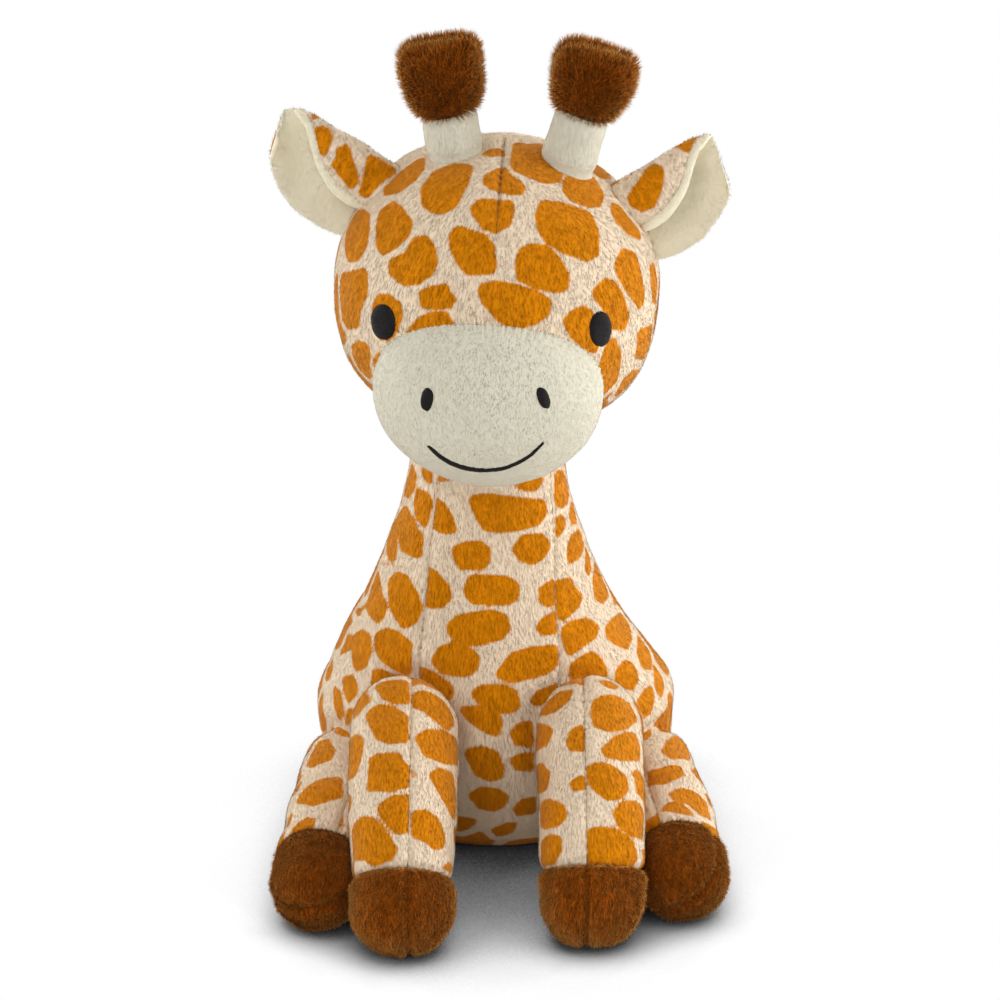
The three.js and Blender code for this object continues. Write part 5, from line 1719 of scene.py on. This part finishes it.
def ear_lip(rim, outward, normal, along, run):
    """A padded roll of cloth along the free edge of an ear's fold."""
    ear = settings("ears")
    size = smooth_curve((-0.2, 0.05, 0.2, 0.75, 0.93, 1), (0.3, 0.55, 1, 0.9, 0.6, 0.15), along)[:, None, None]
    angle = turns(18)[:, None]
    middle = rim + outward * 0.3 * ear.lip_width
    rings = (middle[:, None] + size * (outward[:, None] * np.cos(angle) * ear.lip_width
                                       + normal[:, None] * np.sin(angle) * ear.lip_depth))
    points, faces = lathe(middle[0], rings, middle[-1])
    flat = np.stack([np.repeat(along * ear.length, len(angle)),
                     np.tile(run + 3 * MM * np.cos(angle[:, 0]), len(rings))], 1)
    values = {"nap": nap_along(normals_of(points, faces), outward.mean(axis=0)),
              "chart": np.concatenate([flat[:1], flat, flat[-1:]]),
              "furred": np.ones(len(points)), "outside": np.ones(len(points))}
    return points, faces, values


class GIRAFFE_OT_ears(bpy.types.Operator):
    """Sew the ears: printed cloth outside and cream cloth inside, rolled over at the top"""

    bl_idname = "giraffe.ears"
    bl_label = "Sew ears"

    def execute(self, context):
        ear = settings("ears")
        for number, (name, (side, place, lift, bowl, tip)) in enumerate(EARS.items()):
            sheet, rims, s = ear_sheet(side, place, math.radians(lift), bowl, tip)
            rows, columns = sheet.shape[:2]
            points, faces = sheet.reshape(-1, 3), grid_faces(rows, columns)
            if normals_of(points, faces)[10 * columns + 20][1] < 0:
                faces = faces[:, ::-1]
            normals = normals_of(points, faces)
            rims = rims.reshape(-1, 3)
            rim = rims.min(axis=1)
            cross = unit(np.gradient(sheet, axis=1)).reshape(-1, 3)
            length_way = unit(np.gradient(sheet, axis=0)).reshape(-1, 3)
            weight = np.exp(-rims / (3 * MM))
            weight /= weight.sum(axis=1, keepdims=True)
            outward = unit(-cross * weight[:, :1] + cross * weight[:, 1:2] + length_way * weight[:, 2:])
            inside, well_inside = ramp(rim, 4 * MM), ramp(rim, 5 * MM)
            uneven = lumps(points, (17, 0.35, 110 + number)) * well_inside
            thickness = (0.3 + 0.9 * inside) * MM
            chart = np.stack([np.repeat(s, columns) * ear.length, rims[:, 0]], 1)
            nap = nap_along(normals, outward + 0.01 * X_AXIS)
            body = f"{name}_ear"
            outer = points + normals * (ear.outer * np.sqrt(well_inside) + uneven)[:, None]
            value = print_on(outer, normals_of(outer, faces), faces, Spots(Surface(outer, faces), EAR_SPOTS[name]),
                             16 * MM, 112 + number)
            sewn(f"{name}_ear_outer_cloth", outer, faces, {"print": value, "nap": nap}, chart,
                 PRINTED, body, [f"{name}_ear_outer"], 114 + number, thickness=thickness)
            swell = rim / (1.6 * MM)
            lip = ear.lip * swell * np.exp(1 - swell) * np.where(np.repeat(s, columns) > 0.02, 1, 0.2)
            inner = points - normals * (ear.inner * np.sqrt(inside) + uneven)[:, None] + outward * lip[:, None]
            kept = np.flatnonzero(s > 0.0)
            edge = kept * columns + columns - 1
            roll = ear_lip(inner[edge], outward[edge], normals[edge], s[kept], rims[edge, 0].max())
            sewn(f"{name}_ear_inner_cloth", inner, faces[:, ::-1], {"nap": nap}, chart, EAR_CREAM_PAINTED_LIGHT, body,
                 [f"{name}_ear_inner"], 116 + number, density=2.6, thickness=thickness, roll=roll)
        return {"FINISHED"}


# Tail

TAIL_PATH = np.array([(0, 52, 56), (0, 76, 60), (0, 72, 24)]) * MM  # its root, its bend and its end


class GIRAFFE_OT_tail(bpy.types.Operator):
    """Sew the short tail and its brown tuft"""

    bl_idname = "giraffe.tail"
    bl_label = "Sew tail"

    def execute(self, context):
        tail = settings("tail")
        t = np.linspace(0, 1, 60)
        first, bend, last = TAIL_PATH
        spine = (1 - t)[:, None] ** 2 * first + 2 * (t * (1 - t))[:, None] * bend + t[:, None] ** 2 * last
        heading = unit(np.gradient(spine, axis=0))
        radius = tail.root + (tail.end - tail.root) * t
        radius[[0, -1]] = 0.5 * MM
        points, faces = pillow(t, radius, radius, 40)
        level = np.round(points[:, 2] * (len(t) - 1)).astype(int)
        up = np.cross(heading, X_AXIS)
        points = spine[level] + points[:, :1] * X_AXIS + points[:, 1:2] * up[level]
        faces = faced_out(points, faces)
        normals = normals_of(points, faces)
        seam = groove(np.abs(points[:, 0]) + np.where(normals[:, 1] > 0, 0, 9 * MM), 0.7 * MM, 1.3 * MM)
        points = points + normals * (lumps(points, (9, 0.25, 120)) - seam)[:, None]
        value = print_on(points, normals, faces, Spots(), 11 * MM, 121)
        around = np.arctan2(points[:, 0], points[:, 1] - spine[level][:, 1])
        sewn("tail_cloth", points, faces, {"print": value, "nap": nap_along(normals, -Z_AXIS)},
             np.stack([around * tail.root, t[level] * 45 * MM], 1), PRINTED, "tail", ["tail"], 122, whole=True)
        levels = np.linspace(0, 1, 44)
        wide = tail.tuft * smooth_curve((0, 0.08, 0.35, 0.7, 0.92, 1), (0.1, 0.6, 1.0, 0.86, 0.66, 0.1), levels)
        points, faces = pillow(levels * tail.tuft_length, wide, wide, 48)
        normals = normals_of(points, faces)
        points = points + normals * lumps(points, (7, 0.6, 123))[:, None]
        points = points + [0, last[1] + 0.8 * MM, last[2] + 3.5 * MM - tail.tuft_length]
        normals = normals_of(points, faces)
        sewn("tail_tuft_cloth", points, faces, {"nap": nap_along(normals, -Z_AXIS)},
             chart_about(points, points.mean(axis=0), Z_AXIS), BROWN, "tail", ["tail_tuft"], 124, density=9,
             whole=True, Length=tail.fibres, Width=settings("plush").fibre, Lean=1.2, Stray=0.11)
        return {"FINISHED"}


# Stage


# Each lamp's place, its size in metres and its power in watts
LAMPS = {
    "right_side": ((-1.3, -0.2, 0.5), 1.1, 4.2),
    "left_side": ((1.3, -0.2, 0.5), 1.1, 15),
    "key": ((-0.75, -1.1, 1.25), 1.0, 7),
    "low_front": ((0.0, -1.4, 0.12), 1.0, 2),
    "top": ((0.0, 0.25, 1.5), 1.2, 2.5),
    "back_right": ((-1.0, 0.9, 0.6), 1.1, 8),
    "back_left": ((1.0, 0.9, 0.6), 1.1, 10),
}
LAMP_TARGET = (0, 0, 0.14)
FLOOR_HALF = 6.0


def stand(data, place, direction):
    """An object that looks along a direction from a place."""
    holder = bpy.data.objects.new(data.name, data)
    holder.location = place
    holder.rotation_euler = Vector(direction).to_track_quat("-Z", "Y").to_euler()
    bpy.context.scene.collection.objects.link(holder)
    return holder


def studio_paper(colour_value):
    """Pale studio paper: white in the picture, with a painted shadow near the giraffe where ambient occlusion dims
    its glow.
    """
    material = bpy.data.materials.new("studio_paper")
    nodes = emptied(material)
    path = nodes.node("ShaderNodeLightPath").outputs
    seen = nodes.maths("MAXIMUM", path["Is Camera Ray"], path["Is Glossy Ray"])
    # Painted shadow: for camera rays the paper glows white, dimmed by ambient occlusion close to the giraffe
    open_share = nodes.node("ShaderNodeAmbientOcclusion", {"Distance": 0.11}, samples=4).outputs["AO"]
    painted_shadow_strength = nodes.maths("POWER", nodes.spread(open_share, (0.1, 0.72), WHOLE_SPAN), 2.08)
    plain = nodes.node("ShaderNodeBsdfDiffuse", {"Color": (*colour_value, 1.0)})
    glow = nodes.node("ShaderNodeEmission", {"Strength": painted_shadow_strength})
    shown = nodes.node("ShaderNodeMixShader", {0: seen, 1: plain.outputs[0], 2: glow.outputs[0]})
    nodes.node("ShaderNodeOutputMaterial", {"Surface": shown.outputs[0]})
    return material


def white_surroundings():
    """A white world, dimmer as a light than it shows in the picture."""
    world = bpy.data.worlds.new("surroundings")
    nodes = emptied(world)
    seen = nodes.node("ShaderNodeLightPath").outputs["Is Camera Ray"]
    sky = nodes.node("ShaderNodeBackground",
                     {"Color": (1, 1, 1, 1), "Strength": nodes.spread(seen, WHOLE_SPAN, (0.47, 1.0))})
    nodes.node("ShaderNodeOutputWorld", {"Surface": sky.outputs[0]})
    return world


class GIRAFFE_OT_stage(bpy.types.Operator):
    """Set the camera, the lamps, the floor and the white surroundings"""

    bl_idname = "giraffe.stage"
    bl_label = "Set stage"

    def execute(self, context):
        scene, stage = context.scene, settings("stage")
        place, forward, _ = view_axes()
        camera = bpy.data.cameras.new("camera")
        camera.lens, camera.sensor_width, camera.shift_x = stage.lens, SENSOR, stage.shift
        camera.clip_end = 20
        scene.camera = stand(camera, place, forward)
        mesh = bpy.data.meshes.new("floor")
        corners = [(x * FLOOR_HALF, y * FLOOR_HALF, 0) for x, y in ((-1, -1), (1, -1), (1, 1), (-1, 1))]
        mesh.from_pydata(corners, [], [(0, 1, 2, 3)])
        mesh.materials.append(studio_paper(stage.backdrop))
        floor = bpy.data.objects.new("floor", mesh)
        scene.collection.objects.link(floor)
        scene.world = white_surroundings()
        for name, (place, size, power) in LAMPS.items():
            lamp = bpy.data.lights.new(name, "AREA")
            lamp.shape, lamp.size, lamp.energy = "DISK", size, power
            stand(lamp, place, Vector(LAMP_TARGET) - Vector(place))
        scene.view_settings.view_transform = "Standard"
        return {"FINISHED"}


class GIRAFFE_PT_panel(bpy.types.Panel):
    """Lists the giraffe's pieces in the order in which they are sewn"""

    bl_label = "Plush giraffe"
    bl_idname = "GIRAFFE_PT_panel"
    bl_space_type = "VIEW_3D"
    bl_region_type = "UI"
    bl_category = "Giraffe"

    def draw(self, context):
        for operator in OPERATORS:
            self.layout.operator(operator.bl_idname)
        for part, group in GROUPS.items():
            box = self.layout.box()
            for name in group.__annotations__:
                box.prop(getattr(context.scene, f"giraffe_{part}"), name)


OPERATORS = (GIRAFFE_OT_stage, GIRAFFE_OT_body, GIRAFFE_OT_legs, GIRAFFE_OT_head, GIRAFFE_OT_embroidery,
             GIRAFFE_OT_horns, GIRAFFE_OT_ears, GIRAFFE_OT_tail)


def register():
    for cls in (*GROUPS.values(), *OPERATORS, GIRAFFE_PT_panel):
        bpy.utils.register_class(cls)
    for part, group in GROUPS.items():
        setattr(bpy.types.Scene, f"giraffe_{part}", PointerProperty(type=group))


def unregister():
    for part in GROUPS:
        delattr(bpy.types.Scene, f"giraffe_{part}")
    for cls in (GIRAFFE_PT_panel, *reversed(OPERATORS), *reversed(list(GROUPS.values()))):
        bpy.utils.unregister_class(cls)


def main():
    """Builds the giraffe piece by piece."""
    register()
    for operator in OPERATORS:
        group, name = operator.bl_idname.split(".")
        getattr(getattr(bpy.ops, group), name)()


if __name__ == "__main__":
    main()
